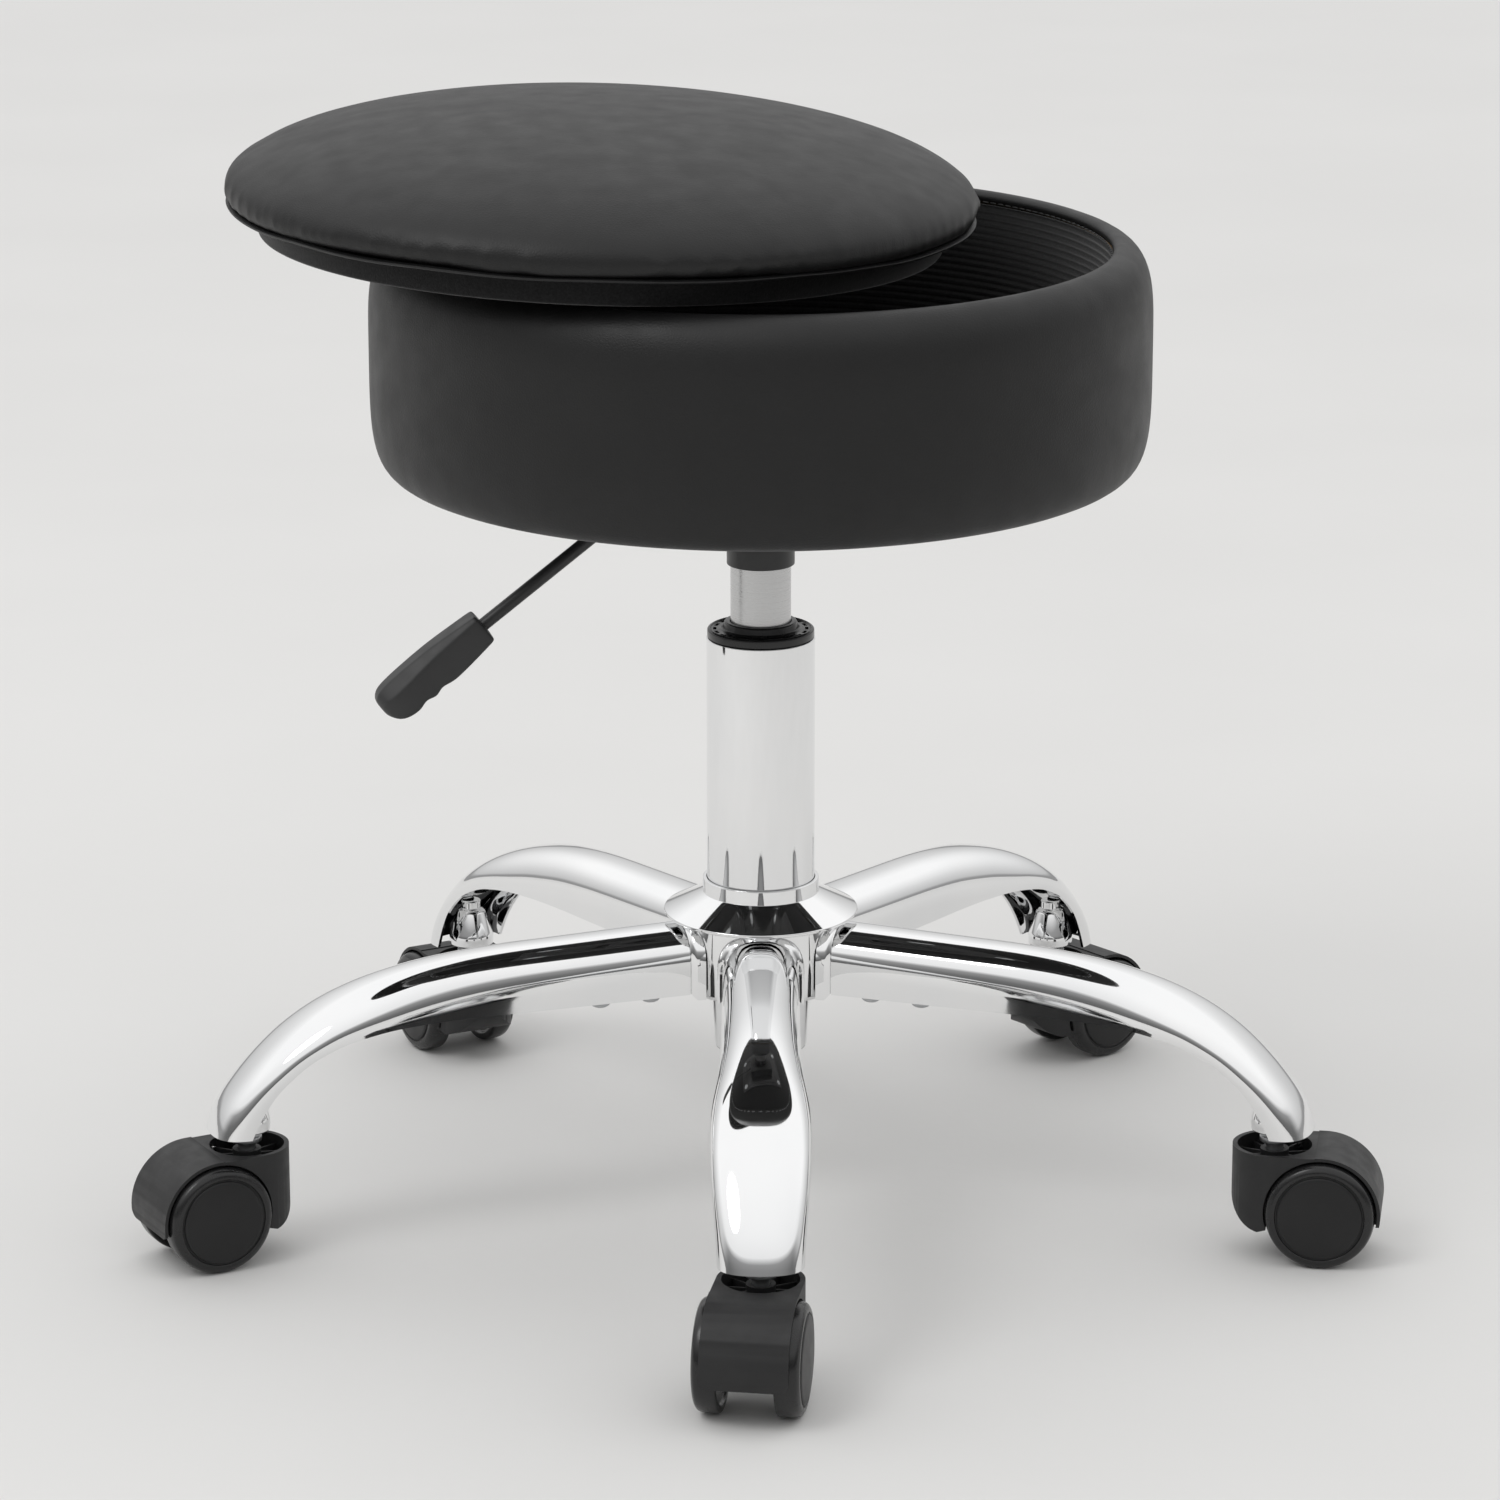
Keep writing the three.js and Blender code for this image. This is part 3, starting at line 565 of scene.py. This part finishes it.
def hub_shape():
    """A drum with an arm inside each leg, and a stub that the leg is pushed over.
    Each section of a stub stands out from the leg's section by grow."""
    hub = lathe("hub", rounded([
        (22.9, 107), (36.6, 107, 1), (37.4, 108.4, 1), (37.4, HUB_TOP, 0.4), (25.4, HUB_TOP)]), 160)
    for i in LEGS:
        heading = leg_frame(i).to_euler().z
        loops = []
        for x, grow in STUB:
            low = max(STUB_LOW, LEG_ROOT_BOTTOM - grow)
            high = min(STUB_HIGH, LEG_ROOT_TOP + grow)
            outline = arch(LEG_ROOT_WIDTH / 2 + grow, high - low, 24)
            loops.append([(x, y, low + u) for y, u in outline])
        stub = move(loft("stub", loops), turned_to(heading))
        arm = move(block("arm", *HUB_ARM), turned_to(heading))
        fuse(hub, stub, arm)
    bore = lathe("bore", [(0, 90), (22.2, 90), (25.4, 150), (0, 150)], 96)
    return cut(hub, bore)


settle(hub_shape(), "hub_casting", COLUMN, "base", CHROME, stands_for=["hub"], sharp=40)

cover = lathe("cover", rounded([
    (25.3, 142), (44.4, 142, 0.4), (45, 142.4, 0.3), (45, 143.6, 0.5), (26.9, 152.2, 0.15),
    (26.9, 158.8, 0.4), (25.3, 158.8)], 6), 192)
settle(cover, "base_cover", COLUMN, "base", CHROME, stands_for=["hub_cover"])

tube = lathe("tube", rounded([
    (6, 76), (20.4, 76, 1), (21.4, 77, 1), (25, 146), (25, COLUMN_TOP, 0.5),
    (23, COLUMN_TOP, 0.5), (23, 146), (19.2, 79.5), (6, 79.5)]), 160)
settle(tube, "column", COLUMN, "base", CHROME, stands_for=["column_tube"])

SLOTS = 20


def bush_shape():
    """A flanged bush with a ring of short slots round its top."""
    bush = lathe("bush", rounded([
        (14.2, 200), (22.7, 200), (22.7, 274), (24.6, 274, 0.4), (24.6, 277.6, 0.7),
        (23.2, 278.3, 0.4), (22.8, 277.5, 0.3), (18.4, 277.5, 0.4), (17.3, 278.3, 0.4),
        (16.6, 281.4, 0.8), (14.2, 281.4, 0.3)]), 144)
    slots = []
    for k in range(SLOTS):
        middle = 360 / SLOTS * k
        ring = arc((0, 0), 21.9, middle - 6, middle + 6, 6)
        ring += arc((0, 0), 20.4, middle + 6, middle - 6, 6)
        slots.append(slab("slot", ring, 275.6, 280, axis="Z"))
    return cut(bush, gathered("slots", *slots))


settle(bush_shape(), "bush", COLUMN, "base", TREAD, stands_for=["guide_bush"])

cylinder = lathe("cylinder", rounded([
    (0, 306), (11.9, 306), (11.9, 99.5), (5.4, 99.5), (5.4, 96), (13.4, 96, 0.4), (13.9, 97, 0.4),
    (13.9, 308), (13.1, 332, 0.3), (4.3, 332), (4.3, 316), (0, 316)]), 96)
settle(cylinder, "lift_cylinder", COLUMN, "seat", SATIN, stands_for=["gas_cylinder"])

socket = lathe("socket", rounded([
    (14.2, 308.3), (15.6, 308.3, 0.5), (15.6, 326.8), (20, 326.8, 0.3), (20, 329.2, 0.3),
    (15.6, 329.2), (15.6, 333, 0.4), (13.4, 333)]), 96)
settle(socket, "seat_socket", MECHANISM, "seat", PAINTED, stands_for=["taper_socket"])

# ------------------------------------------------------------------------------ seat plate, lever
BOLTS = [(60, 50), (-60, 50), (-60, -50), (60, -50)]
PLATE_Z = (353.8, 356.4)
TRAY_BOTTOM = 324
TRAY_FLOOR = 326.5
CUTTER_TOP = 358
LEVER_SLOPE = math.radians(37.2)
LEVER_KNEE = -56.7
LEVER_Z = 341.0
ROD_RADIUS = 3.0
ROD_END = 130
GRIP_START = 90.5
GRIP_TURN = math.radians(1.2)


def soft_box(name, x, y, z, radius):
    """A block with its upright edges rounded."""
    corners = [(x[0], y[0], radius), (x[1], y[0], radius), (x[1], y[1], radius), (x[0], y[1], radius)]
    return slab(name, rounded(corners, 6), *z, axis="Z")


def plate_shape():
    """A pressed plate: a flange on the board, a tray for the lever, and a rib on each side of it."""
    plate = soft_box("plate", (-75, 75), (-65, 65), PLATE_Z, 12)
    fuse(plate, soft_box("tray", (-34, 34), (-30, 30), (TRAY_BOTTOM, 355.4), 6))
    for side in (-1, 1):
        y = sorted((side * 44, side * 56))
        fuse(plate, soft_box("rib", (-40, 40), y, (351.4, 355), 5))
        cut(plate, soft_box("rib_inside", (-38, 38), (y[0] + 2, y[1] - 2), (353.4, CUTTER_TOP), 3.5))
    cut(plate, soft_box("inside", (-31.5, 31.5), (-27.5, 27.5), (TRAY_FLOOR, CUTTER_TOP), 4))
    cut(plate, lathe("hole", [(0, 323), (15.9, 323), (15.9, 328), (0, 328)], 64))
    across = Matrix.Translation((-34, 0, LEVER_Z)) @ Matrix.Rotation(math.pi / 2, 4, "Y")
    cut(plate, move(lathe("hole", [(0, -4), (4.6, -4), (4.6, 4), (0, 4)], 32), across))
    for x, y in BOLTS:
        hole = lathe("hole", [(0, 352), (3.3, 352), (3.3, CUTTER_TOP), (0, CUTTER_TOP)], 24)
        cut(plate, move(hole, Matrix.Translation((x, y, 0))))
    return bevelled(plate, 0.7, 2, 40)


settle(plate_shape(), "mounting_plate", MECHANISM, "seat", PAINTED,
       stands_for=["seat_plate"])


def bolt_shape():
    """A hexagon head and its washer under the plate, the shank up in the board."""
    washer = lathe("washer", rounded([(3, 352.2), (7, 352.2, 0.3), (7, 353.5, 0.3), (3, 353.5)], 2), 36)
    head = lathe("head", [(0, 348.9), (4.4, 348.9), (5.3, 349.5), (5.3, 352.3), (0, 352.3)], 6)
    shank = lathe("shank", [(0, 352), (3, 352), (3, 367), (0, 367)], 24)
    return gathered("bolt", washer, bevelled(head, 0.25, 2), shank)


bolt = bolt_shape()
for i, (x, y) in enumerate(BOLTS, 1):
    settle(copied(bolt, "bolt"), f"board_bolt_{i}", MECHANISM @ Matrix.Translation((x, y, 0)), "seat",
           ZINC, stands_for=[f"plate_bolt_{i}"])
bpy.data.objects.remove(bolt)

button = lathe("button", rounded([(0, 321), (3.9, 321, 0.5), (3.9, 337.7, 1), (0, 337.7)]), 40)
settle(button, "valve_button", COLUMN, "button", ZINC, stands_for=["release_button"])


def along_lever(s, t=0.0):
    """A point s along the sloping part of the lever and t above it."""
    c, d = -math.cos(LEVER_SLOPE), -math.sin(LEVER_SLOPE)
    return LEVER_KNEE + c * s + d * t, LEVER_Z + d * s - c * t


def rod_shape():
    """A round bar, level through the tray and bent down at the knee."""
    start, end = (LEVER_KNEE + 9, LEVER_Z), along_lever(9)
    knee = (LEVER_KNEE, LEVER_Z)
    bend = [(1 - t) ** 2 * np.array(start) + 2 * t * (1 - t) * np.array(knee) + t * t * np.array(end)
            for t in np.linspace(0, 1, 11)]
    path = np.array([(9, LEVER_Z), (8.6, LEVER_Z), *bend, along_lever(ROD_END - 0.4),
                     along_lever(ROD_END)])
    radii = [ROD_RADIUS - 0.5] + [ROD_RADIUS] * (len(path) - 2) + [ROD_RADIUS - 0.5]
    ahead = np.gradient(path, axis=0)
    ahead /= np.linalg.norm(ahead, axis=1)[:, None]
    loops = []
    for (x, z), (dx, dz), r in zip(path, ahead, radii):
        ring = [(r * math.cos(a), r * math.sin(a)) for a in np.linspace(0, TURN, 24, endpoint=False)]
        loops.append([(x - dz * v, u, z + dx * v) for u, v in ring])
    return loft("rod", loops)


settle(rod_shape(), "lever_bar", MECHANISM, "lever", PAINTED, stands_for=["lever_rod"])


def grip_shape():
    """Sections along the grip: chamfers widen towards the tip on top, finger grooves run below."""
    table = (  # along, half width, top, bottom, chamfer
        (0.0, 6.6, 6.2, -6.4, 1.2), (0.6, 7.6, 7.3, -7.5, 1.6), (3, 7.8, 7.6, -7.8, 1.9),
        (12, 8.3, 8.4, -8.7, 2.6), (22, 8.9, 9.2, -9.5, 3.5), (27, 9.2, 9.4, -9.4, 3.9),
        (30, 9.4, 9.45, -8.5, 4.2), (32.5, 9.5, 9.5, -8.1, 4.4), (35, 9.7, 9.5, -9.0, 4.6),
        (37, 9.8, 9.5, -9.5, 4.8), (39, 9.9, 9.5, -8.8, 5.0), (41.5, 10.0, 9.45, -8.0, 5.2),
        (44, 10.1, 9.4, -8.7, 5.3), (46.5, 10.2, 9.3, -9.5, 5.4), (50, 10.2, 9.1, -9.3, 5.5),
        (54, 9.9, 8.7, -8.5, 5.3), (57, 8.8, 7.9, -6.6, 4.6), (59.2, 6.6, 6.0, -3.6, 3.2),
        (60.0, 4.2, 4.2, -1.6, 2.0),
    )
    loops = []
    for s, w, top, low, c in table:
        r = min(2.0, w * 0.3)
        side = [(0, top), ((w - c) * 0.6, top), (w - c - 0.35, top - 0.05), (w - c + 0.35, top - 0.4),
                (w - 0.35, top - c * 0.95 + 0.1), (w, top - c * 0.95 - 0.6), (w, (top + low) / 2 - 1),
                (w, low + r), (w - r * 0.3, low + r * 0.3), (w - r, low), (w * 0.4, low)]
        ring = side + [(0, low)] + [(-y, t) for y, t in side[:0:-1]]
        loop = []
        for y, t in ring:
            ahead = GRIP_START + s * math.cos(GRIP_TURN) + t * math.sin(GRIP_TURN)
            x, z = along_lever(ahead, t * math.cos(GRIP_TURN) - s * math.sin(GRIP_TURN))
            loop.append((x, y, z))
        loops.append(loop)
    return subdivided(loft("grip", loops), 2)


grip = grip_shape()
settle(grip, "grip", MECHANISM, "lever", GRIP, stands_for=["lever_grip"], sharp=55)

# ------------------------------------------------------------------------------ casters
AXLE = (22.2, 25.0)
CUP = 19.25
CUP_FLOOR = 40
CUP_RIM = 52
CUP_BEND = 15
FENDER = 27.4
FENDER_END = -12  # degrees below the axle's height, behind the wheels
CORNER = 4.2
AXLE_HOLE = 2.8
WHEEL_ROOM = 25.9
HOOD_RIBS = 10
CAP_RADIUS = 20.3


def pin(radius, faces, segments=96):
    """A cylinder along Y through the wheels' axle, between two faces."""
    low, high = sorted(faces)
    shape = lathe("pin", [(0, low), (radius, low), (radius, high), (0, high)], segments)
    along = Matrix.Translation((AXLE[0], 0, AXLE[1])) @ Matrix.Rotation(-math.pi / 2, 4, "X")
    return move(shape, along)


def hood_shape():
    """A cup on a web between the wheels, with a fender over both wheels behind it."""
    fender = arc(AXLE, FENDER, FENDER_END, 90, 30)
    outline = [
        *arc((CUP_BEND - CUP, 30), CUP_BEND, 180, 262, 14), (-1, 17), (38, 17),
        (42, fender[0][1]), *fender, (CUP, 52.4), (CUP, CUP_RIM), (-CUP, CUP_RIM),
    ]
    body = slab("hood", outline, -CUP, CUP)
    plan = fuse(lathe("plan", [(0, 0), (CUP, 0), (CUP, 60), (0, 60)], 128),
                block("back", (0, 60), (-CUP, CUP), (0, 60)))
    combine(body, "INTERSECT", plan)
    for side in (-1, 1):
        cut(body, pin(WHEEL_ROOM, (side * 11.9, side * 22)))
        tip = (side * (CUP - CORNER), fender[0][1] + CORNER)
        quarter = arc(tip, CORNER, 270, 270 + side * 90, 8)
        corner = quarter + [(side * 22, tip[1]), (side * 22, 10), (tip[0], 10)]
        cut(body, slab("corner", corner, 34, 60, axis="X"))
    recess = lathe("recess", [
        (6.5, CUP_FLOOR), (CUP - 2.3, CUP_FLOOR), (CUP - 2.1, 60), (6.5, 60)], 96)
    boss = lathe("boss", [(0, 50), (8, 50), (8, 60), (0, 60)], 48)
    bore = lathe("bore", [(0, 29.7), (4.3, 29.7), (4.3, 60), (0, 60)], 40)
    cut(body, recess, boss, bore, pin(AXLE_HOLE, (-20, 20), 32))
    bevelled(body, 0.55, 2, 36)
    ribs = []
    for k in range(HOOD_RIBS):
        rib = block("rib", (6.2, CUP - 1.8), (-0.45, 0.45), (CUP_FLOOR - 0.4, 47.6))
        ribs.append(move(rib, turned_to(TURN * (k + 0.5) / HOOD_RIBS)))
    return fuse(body, *ribs)


def wheel_shape():
    """A tread with a domed cap, its outer side towards +Z, and the cap in the second material."""
    wheel = lathe("wheel", rounded([
        (AXLE_HOLE, 12.3), (8, 12.3, 0.4), (9, 13.6, 0.4), (20.6, 13.6, 0.5), (21.6, 12.3, 0.4),
        (24.4, 12.3, 0.6), (25, 13.2, 0.6), (25, 19.6, 1.4), (24.2, 22.2, 1.1), (22.2, 23.4, 0.8),
        (20.5, 23.5, 0.3), (20.2, 22.8, 0.2), (19.5, 22.8, 0.2), (19.3, 23.6, 0.3), (18.2, 24.0, 0.4),
        (9, 24.5), (0, 24.7)], 5) + [(0, 21.5), (AXLE_HOLE, 21.5)], 96)
    for face in wheel.data.polygons:
        in_cap = math.hypot(*face.center[:2]) < CAP_RADIUS and face.center.z > 22
        face.material_index = int(in_cap)
    wheel.data.materials.append(TREAD)
    wheel.data.materials.append(CAP)
    return wheel


hood, wheel = hood_shape(), wheel_shape()
SIDES = {"left": -math.pi / 2, "right": math.pi / 2}
for i in LEGS:
    place = caster_frame(i)
    body = f"caster_{i}"
    settle(copied(hood, "hood"), f"{body}_housing", place, body, NYLON,
           stands_for=[f"{body}_hood"])
    stem = lathe("stem", rounded([
        (0, 30), (3.6, 30, 0.4), (4, 31, 0.4), (4, 53.6), (7, 53.6, 0.5), (7, 56.3, 0.5),
        (4, 56.3), (4, 73.3, 0.4), (0, 73.7)]), 48)
    settle(stem, f"{body}_pintle", place, body, ZINC, stands_for=[f"{body}_stem"])
    for side, turn in SIDES.items():
        at = place @ Matrix.Translation((AXLE[0], 0, AXLE[1])) @ Matrix.Rotation(turn, 4, "X")
        settle(copied(wheel, "wheel"), f"{body}_{side}_roller", at, f"wheel_{i}_{side}",
               stands_for=[f"{body}_wheel_{side}"])
for spare in (hood, wheel):
    bpy.data.objects.remove(spare)

# ------------------------------------------------------------------------------ soft pieces
CLOTH_FRAMES = 20
BOX_RADIUS = 177.2
BOX_MOUTH = 158.3
LID_RADIUS = 170.6


def remeshed(obj, voxel):
    step = obj.modifiers.new("remesh", "REMESH")
    step.mode, step.voxel_size = "VOXEL", voxel
    return baked(obj)


def inflated(obj, held, pressure, most):
    """Blows the cover up as cloth. held(point) is 1 where it is fixed, and most caps the movement."""
    group = obj.vertex_groups.new(name="held")
    start = np.array([v.co for v in obj.data.vertices])
    for index, point in enumerate(start):
        group.add([index], held(point), "REPLACE")
    cloth = obj.modifiers.new("cloth", "CLOTH")
    cloth.settings.quality = 6
    cloth.settings.use_pressure = True
    cloth.settings.uniform_pressure_force = pressure
    cloth.settings.effector_weights.gravity = 0
    cloth.settings.vertex_group_mass = "held"
    cloth.settings.tension_stiffness = cloth.settings.compression_stiffness = 30
    cloth.settings.bending_stiffness = 2
    scene = bpy.context.scene
    cloth.point_cache.frame_start, cloth.point_cache.frame_end = 1, CLOTH_FRAMES
    for step in range(1, CLOTH_FRAMES + 1):
        scene.frame_set(step)
    baked(obj)
    scene.frame_set(1)
    moved = np.array([v.co for v in obj.data.vertices]) - start
    length = np.linalg.norm(moved, axis=1)[:, None]
    moved *= np.minimum(1, most / np.maximum(length, 1e-9))
    obj.data.vertices.foreach_set("co", (start + moved).ravel())
    return obj


def relaxed(obj, rounds):
    """Evens out the fine wrinkles."""
    bm = bmesh.new()
    bm.from_mesh(obj.data)
    for _ in range(rounds):
        bmesh.ops.smooth_vert(bm, verts=bm.verts, factor=0.5,
                              use_axis_x=True, use_axis_y=True, use_axis_z=True)
    bm.to_mesh(obj.data)
    bm.free()
    return obj


def box_cover():
    """The padded ring: leather over foam, from under the board to the rolled edge of the mouth."""
    start, mouth = (140, 354.1), (BOX_MOUTH, 452.1)
    foot = soft_corner(BOX_RADIUS, 410.9, drop=56.8, inset=25, power=4.3, side=-1, steps=40)[::-1]
    rim = soft_corner(BOX_RADIUS, 418.8, drop=40, inset=23.3, power=3.24, side=1, steps=40)
    rim = [(r, z) for r, z in rim if r > BOX_MOUTH + 2.7]
    edge = arc((BOX_MOUTH + 2.3, 456.5), 2.3, 90, 180, 6)
    outside = resampled([start, *foot, *rim, *edge, mouth], 4.6)
    inside = resampled([mouth, (166.3, 452.1), (166.3, 356.7), (140, 356.7), start], 9)
    cover = lathe("box", outside + inside[1:-1], 232)
    move(cover, COLUMN)

    def held(point):
        radius = math.hypot(point[0] - column_axis.x, point[1] - column_axis.y) / MM
        z = point[2] / MM
        inner = radius < 167 and z < 455
        low = min(1, max(0, (366 - z) / 8))
        high = min(1, max(0, (z - 450) / 6))
        return 1.0 if inner else max(low, high)

    inflated(cover, held, pressure=4.0, most=0.0022)
    move(cover, COLUMN.inverted())
    return subdivided(cover, 1)


settle(box_cover(), "drum_cover", COLUMN, "seat", LEATHER,
       stands_for=["box_cover"], sharp=60)


def lid_cushion():
    """A domed cushion with a short upright side and a flat underside."""
    crown = soft_corner(LID_RADIUS, 6.4, drop=41.2, inset=LID_RADIUS, power=1.97, side=1, steps=90)
    profile = [(0, 1.2), (155, 1.2, 2), (156.5, 0, 1.5), (167.4, 0, 1.2), (169.8, 2.4, 1.5)]
    cushion = lathe("lid", rounded(profile) + crown[:-1] + [(0, 47.6)], 200)
    move(cushion, LID)
    remeshed(cushion, voxel=0.0045)
    down = LID.inverted()

    def held(point):
        low = (down @ Vector(point)).z
        return min(1.0, max(0.0, (20 - low) / 10))

    inflated(cushion, held, pressure=3.0, most=0.001)
    relaxed(cushion, rounds=3)
    move(cushion, down)
    subdivided(cushion, 1)
    return cushion


settle(lid_cushion(), "lid_pad", LID, "lid", LEATHER,
       stands_for=["lid_cushion", "lid_board"], sharp=60)


def wavy_ring(name, profile, segments, rise, waves):
    """A turned ring whose height wanders by rise, as a folded edge does."""
    ring = lathe(name, profile, segments)
    for v in ring.data.vertices:
        angle = math.atan2(v.co.y, v.co.x)
        spot = Vector((math.cos(angle) * waves, math.sin(angle) * waves, 0.5))
        v.co.z += rise * noise.noise(spot)
    return ring


hem = wavy_ring("hem", rounded([
    (154.6, 0.3), (154.6, -0.4, 0.3), (164.9, -0.9, 0.4), (168.1, -0.5, 0.5), (168.7, 0.6, 0.4),
    (166.7, 1.2, 0.5)]), segments=360, rise=0.7, waves=4.5)
settle(hem, "lid_hem", LID, "lid", LEATHER)

plug = lathe("plug", rounded([
    (0, -0.3), (153.8, -0.3, 0.5), (154, -1.2, 0.6), (154, -12.6, 0.8), (152.8, -13.2, 0.8),
    (0, -13.2)]), 240)
settle(plug, "lid_insert", LID, "lid", LINING, stands_for=["lid_plug"])


def lining_shape():
    """A ribbed wall and a flat floor."""
    pitch, depth = 3.3, 0.45
    wall = [(158.9 - depth * math.sin(TURN * z / pitch), z) for z in np.arange(375, 451.8, 0.55)]
    return lathe("lining", [
        (0, 369.4), (159.5, 369.4), (159.5, 452.05), (158.6, 452.05), *wall[::-1],
        *arc((155.2, 374.1), 3.6, 0, -90, 5), (0, 370.5)], 200)


settle(lining_shape(), "box_liner", COLUMN, "seat", LINING,
       stands_for=["box_lining"], sharp=60)


def threads(name, spots, length, radius):
    """Short rounded bars, each at (point, heading along it)."""
    bars = []
    for point, ahead in spots:
        loops = []
        for s, r in ((-0.5, 0.45), (-0.42, 0.9), (0, 1), (0.42, 0.9), (0.5, 0.45)):
            lift = -radius * 1.3 * (abs(s) * 2) ** 3
            loops.append([(s * length, r * radius * math.cos(a), r * radius * math.sin(a) + lift)
                          for a in np.linspace(0, TURN, 6, endpoint=False)])
        bars.append(move(loft("bar", loops), Matrix.Translation(point) @ ahead))
    return gathered(name, *bars)


def ring_of(count, radius, z, facing):
    """Places round the column, the bar along the circle and its back turned by facing."""
    spots = []
    for k in range(count):
        a = TURN * k / count
        heading = turned_to(a + math.pi / 2) @ Matrix.Rotation(facing, 4, "X")
        spots.append(((radius * math.cos(a), radius * math.sin(a), z), heading))
    return spots


wall = lathe("wall", rounded([
    (159.85, 369.3), (166, 369.3), (166, 451.3, 0.6), (159.85, 451.3, 0.6)]), 160)
settle(wall, "drum_wall", COLUMN, "seat", PLYWOOD, stands_for=["box_wall"])
board = lathe("board", rounded([(0, 357), (166, 357, 0.5), (166, 369, 0.5), (0, 369)]), 160)
settle(board, "drum_board", COLUMN, "seat", PLYWOOD, stands_for=["box_base"])
dust_cloth = lathe("cloth", rounded([
    (0, 356.45), (143, 356.45, 0.2), (143, 356.95, 0.2), (0, 356.95)], 2), 96)
settle(dust_cloth, "dust_cloth", COLUMN, "seat", LINING)

stitch_places = ring_of(count=210, radius=158.2, z=453.4, facing=math.pi / 2)
stitches = threads("stitches", stitch_places, length=3.4, radius=0.35)
settle(stitches, "rim_stitches", COLUMN, "seat", LINING)
staple_places = ring_of(count=56, radius=147, z=354.0, facing=math.pi)
staples = threads("staples", staple_places, length=10, radius=0.5)
settle(staples, "hem_staples", COLUMN, "seat", ZINC)

# ------------------------------------------------------------------------------ carried-over nodes
for name, look in {
    "thrust_bearing": ZINC, "retaining_clip": ZINC, "piston_rod": SATIN,
    **{f"caster_{i}_axle": ZINC for i in LEGS},
}.items():
    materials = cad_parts[name].data.materials
    materials.clear()
    materials.append(look)

# ------------------------------------------------------------------------------ stage
FLOOR = material("pale_floor", Roughness=0.8)
tinted(FLOOR, noise_of(FLOOR, 3.0), (0.71, 0.705, 0.695), (0.73, 0.725, 0.715))
bumped(FLOOR, (noise_of(FLOOR, 140.0), 0.1, 0.001))
floor = lathe("floor", [(0, 0), (500, 0), (30000, 0), (30000, -100), (0, -100)], 64)
floor.data.transform(Matrix.Scale(MM, 4))
floor.data.materials.append(FLOOR)

world = bpy.data.worlds.new("studio")
world.use_nodes = True
bpy.context.scene.world = world
tree = world.node_tree
direction = tree.nodes.new("ShaderNodeTexCoord").outputs["Generated"]
split = tree.nodes.new("ShaderNodeSeparateXYZ")
tree.links.new(direction, split.inputs[0])


def sky_band(stops):
    """Grey that changes with height: (sine of the elevation, tone) from the horizon up."""
    band = tree.nodes.new("ShaderNodeValToRGB")
    tree.links.new(split.outputs["Z"], band.inputs[0])
    for position, tone in stops[1:-1]:
        band.color_ramp.elements.new(position).color = (tone, tone, tone, 1)
    for end, (position, tone) in ((0, stops[0]), (-1, stops[-1])):
        band.color_ramp.elements[end].position = position
        band.color_ramp.elements[end].color = (tone, tone, tone, 1)
    return band.outputs[0]


turn = tree.nodes.new("ShaderNodeMapRange")
turn.interpolation_type = "SMOOTHSTEP"
tree.links.new(split.outputs["Y"], turn.inputs["Value"])
for socket_name, value in {"From Min": -0.5, "From Max": 0.15, "To Min": 0, "To Max": 1}.items():
    turn.inputs[socket_name].default_value = value
COLOUR_A, COLOUR_B, COLOUR_OUT = 6, 7, 2  # the Mix node's colour sockets
blend = tree.nodes.new("ShaderNodeMix")
blend.data_type = "RGBA"
front = sky_band(((0, 0.12), (0.12, 0.16), (0.3, 0.3), (0.42, 0.85), (1, 1.0)))
rear = sky_band(((0.05, 0.3), (0.1, 0.55), (0.3, 0.72), (0.55, 1.0), (1, 1.0)))
tree.links.new(turn.outputs["Result"], blend.inputs["Factor"])
tree.links.new(front, blend.inputs[COLOUR_A])
tree.links.new(rear, blend.inputs[COLOUR_B])
sky = tree.nodes["Background"]
tree.links.new(blend.outputs[COLOUR_OUT], sky.inputs["Color"])
sky.inputs["Strength"].default_value = 1.1

AIM_HEIGHT = 0.25


def softbox(name, place, size, power):
    """A round lamp that faces the stool's middle at AIM_HEIGHT."""
    light = bpy.data.lights.new(name, "AREA")
    light.shape, light.size, light.energy = "DISK", size, power
    obj = bpy.data.objects.new(name, light)
    obj.location = place
    away = Vector(place) - Vector((0, 0, AIM_HEIGHT))
    obj.rotation_euler = away.to_track_quat("Z", "Y").to_euler()
    bpy.context.scene.collection.objects.link(obj)


softbox("key_light", place=(-1.5, -1.2, 2.4), size=1.2, power=14)

CAMERA_DISTANCE = 2.60576
CAMERA_HEIGHT = 0.96847
CAMERA_PITCH = math.radians(73.96)

bpy.context.scene.view_settings.view_transform = "Standard"
camera = bpy.data.cameras.new("camera")
camera.sensor_width, camera.lens, camera.shift_x = 36, 140.94, -0.00718
camera_object = bpy.data.objects.new("camera", camera)
camera_object.location = (0, column_axis.y - CAMERA_DISTANCE, CAMERA_HEIGHT + LEVEL)
camera_object.rotation_euler = (CAMERA_PITCH, 0, 0)
bpy.context.scene.collection.objects.link(camera_object)
bpy.context.scene.camera = camera_object
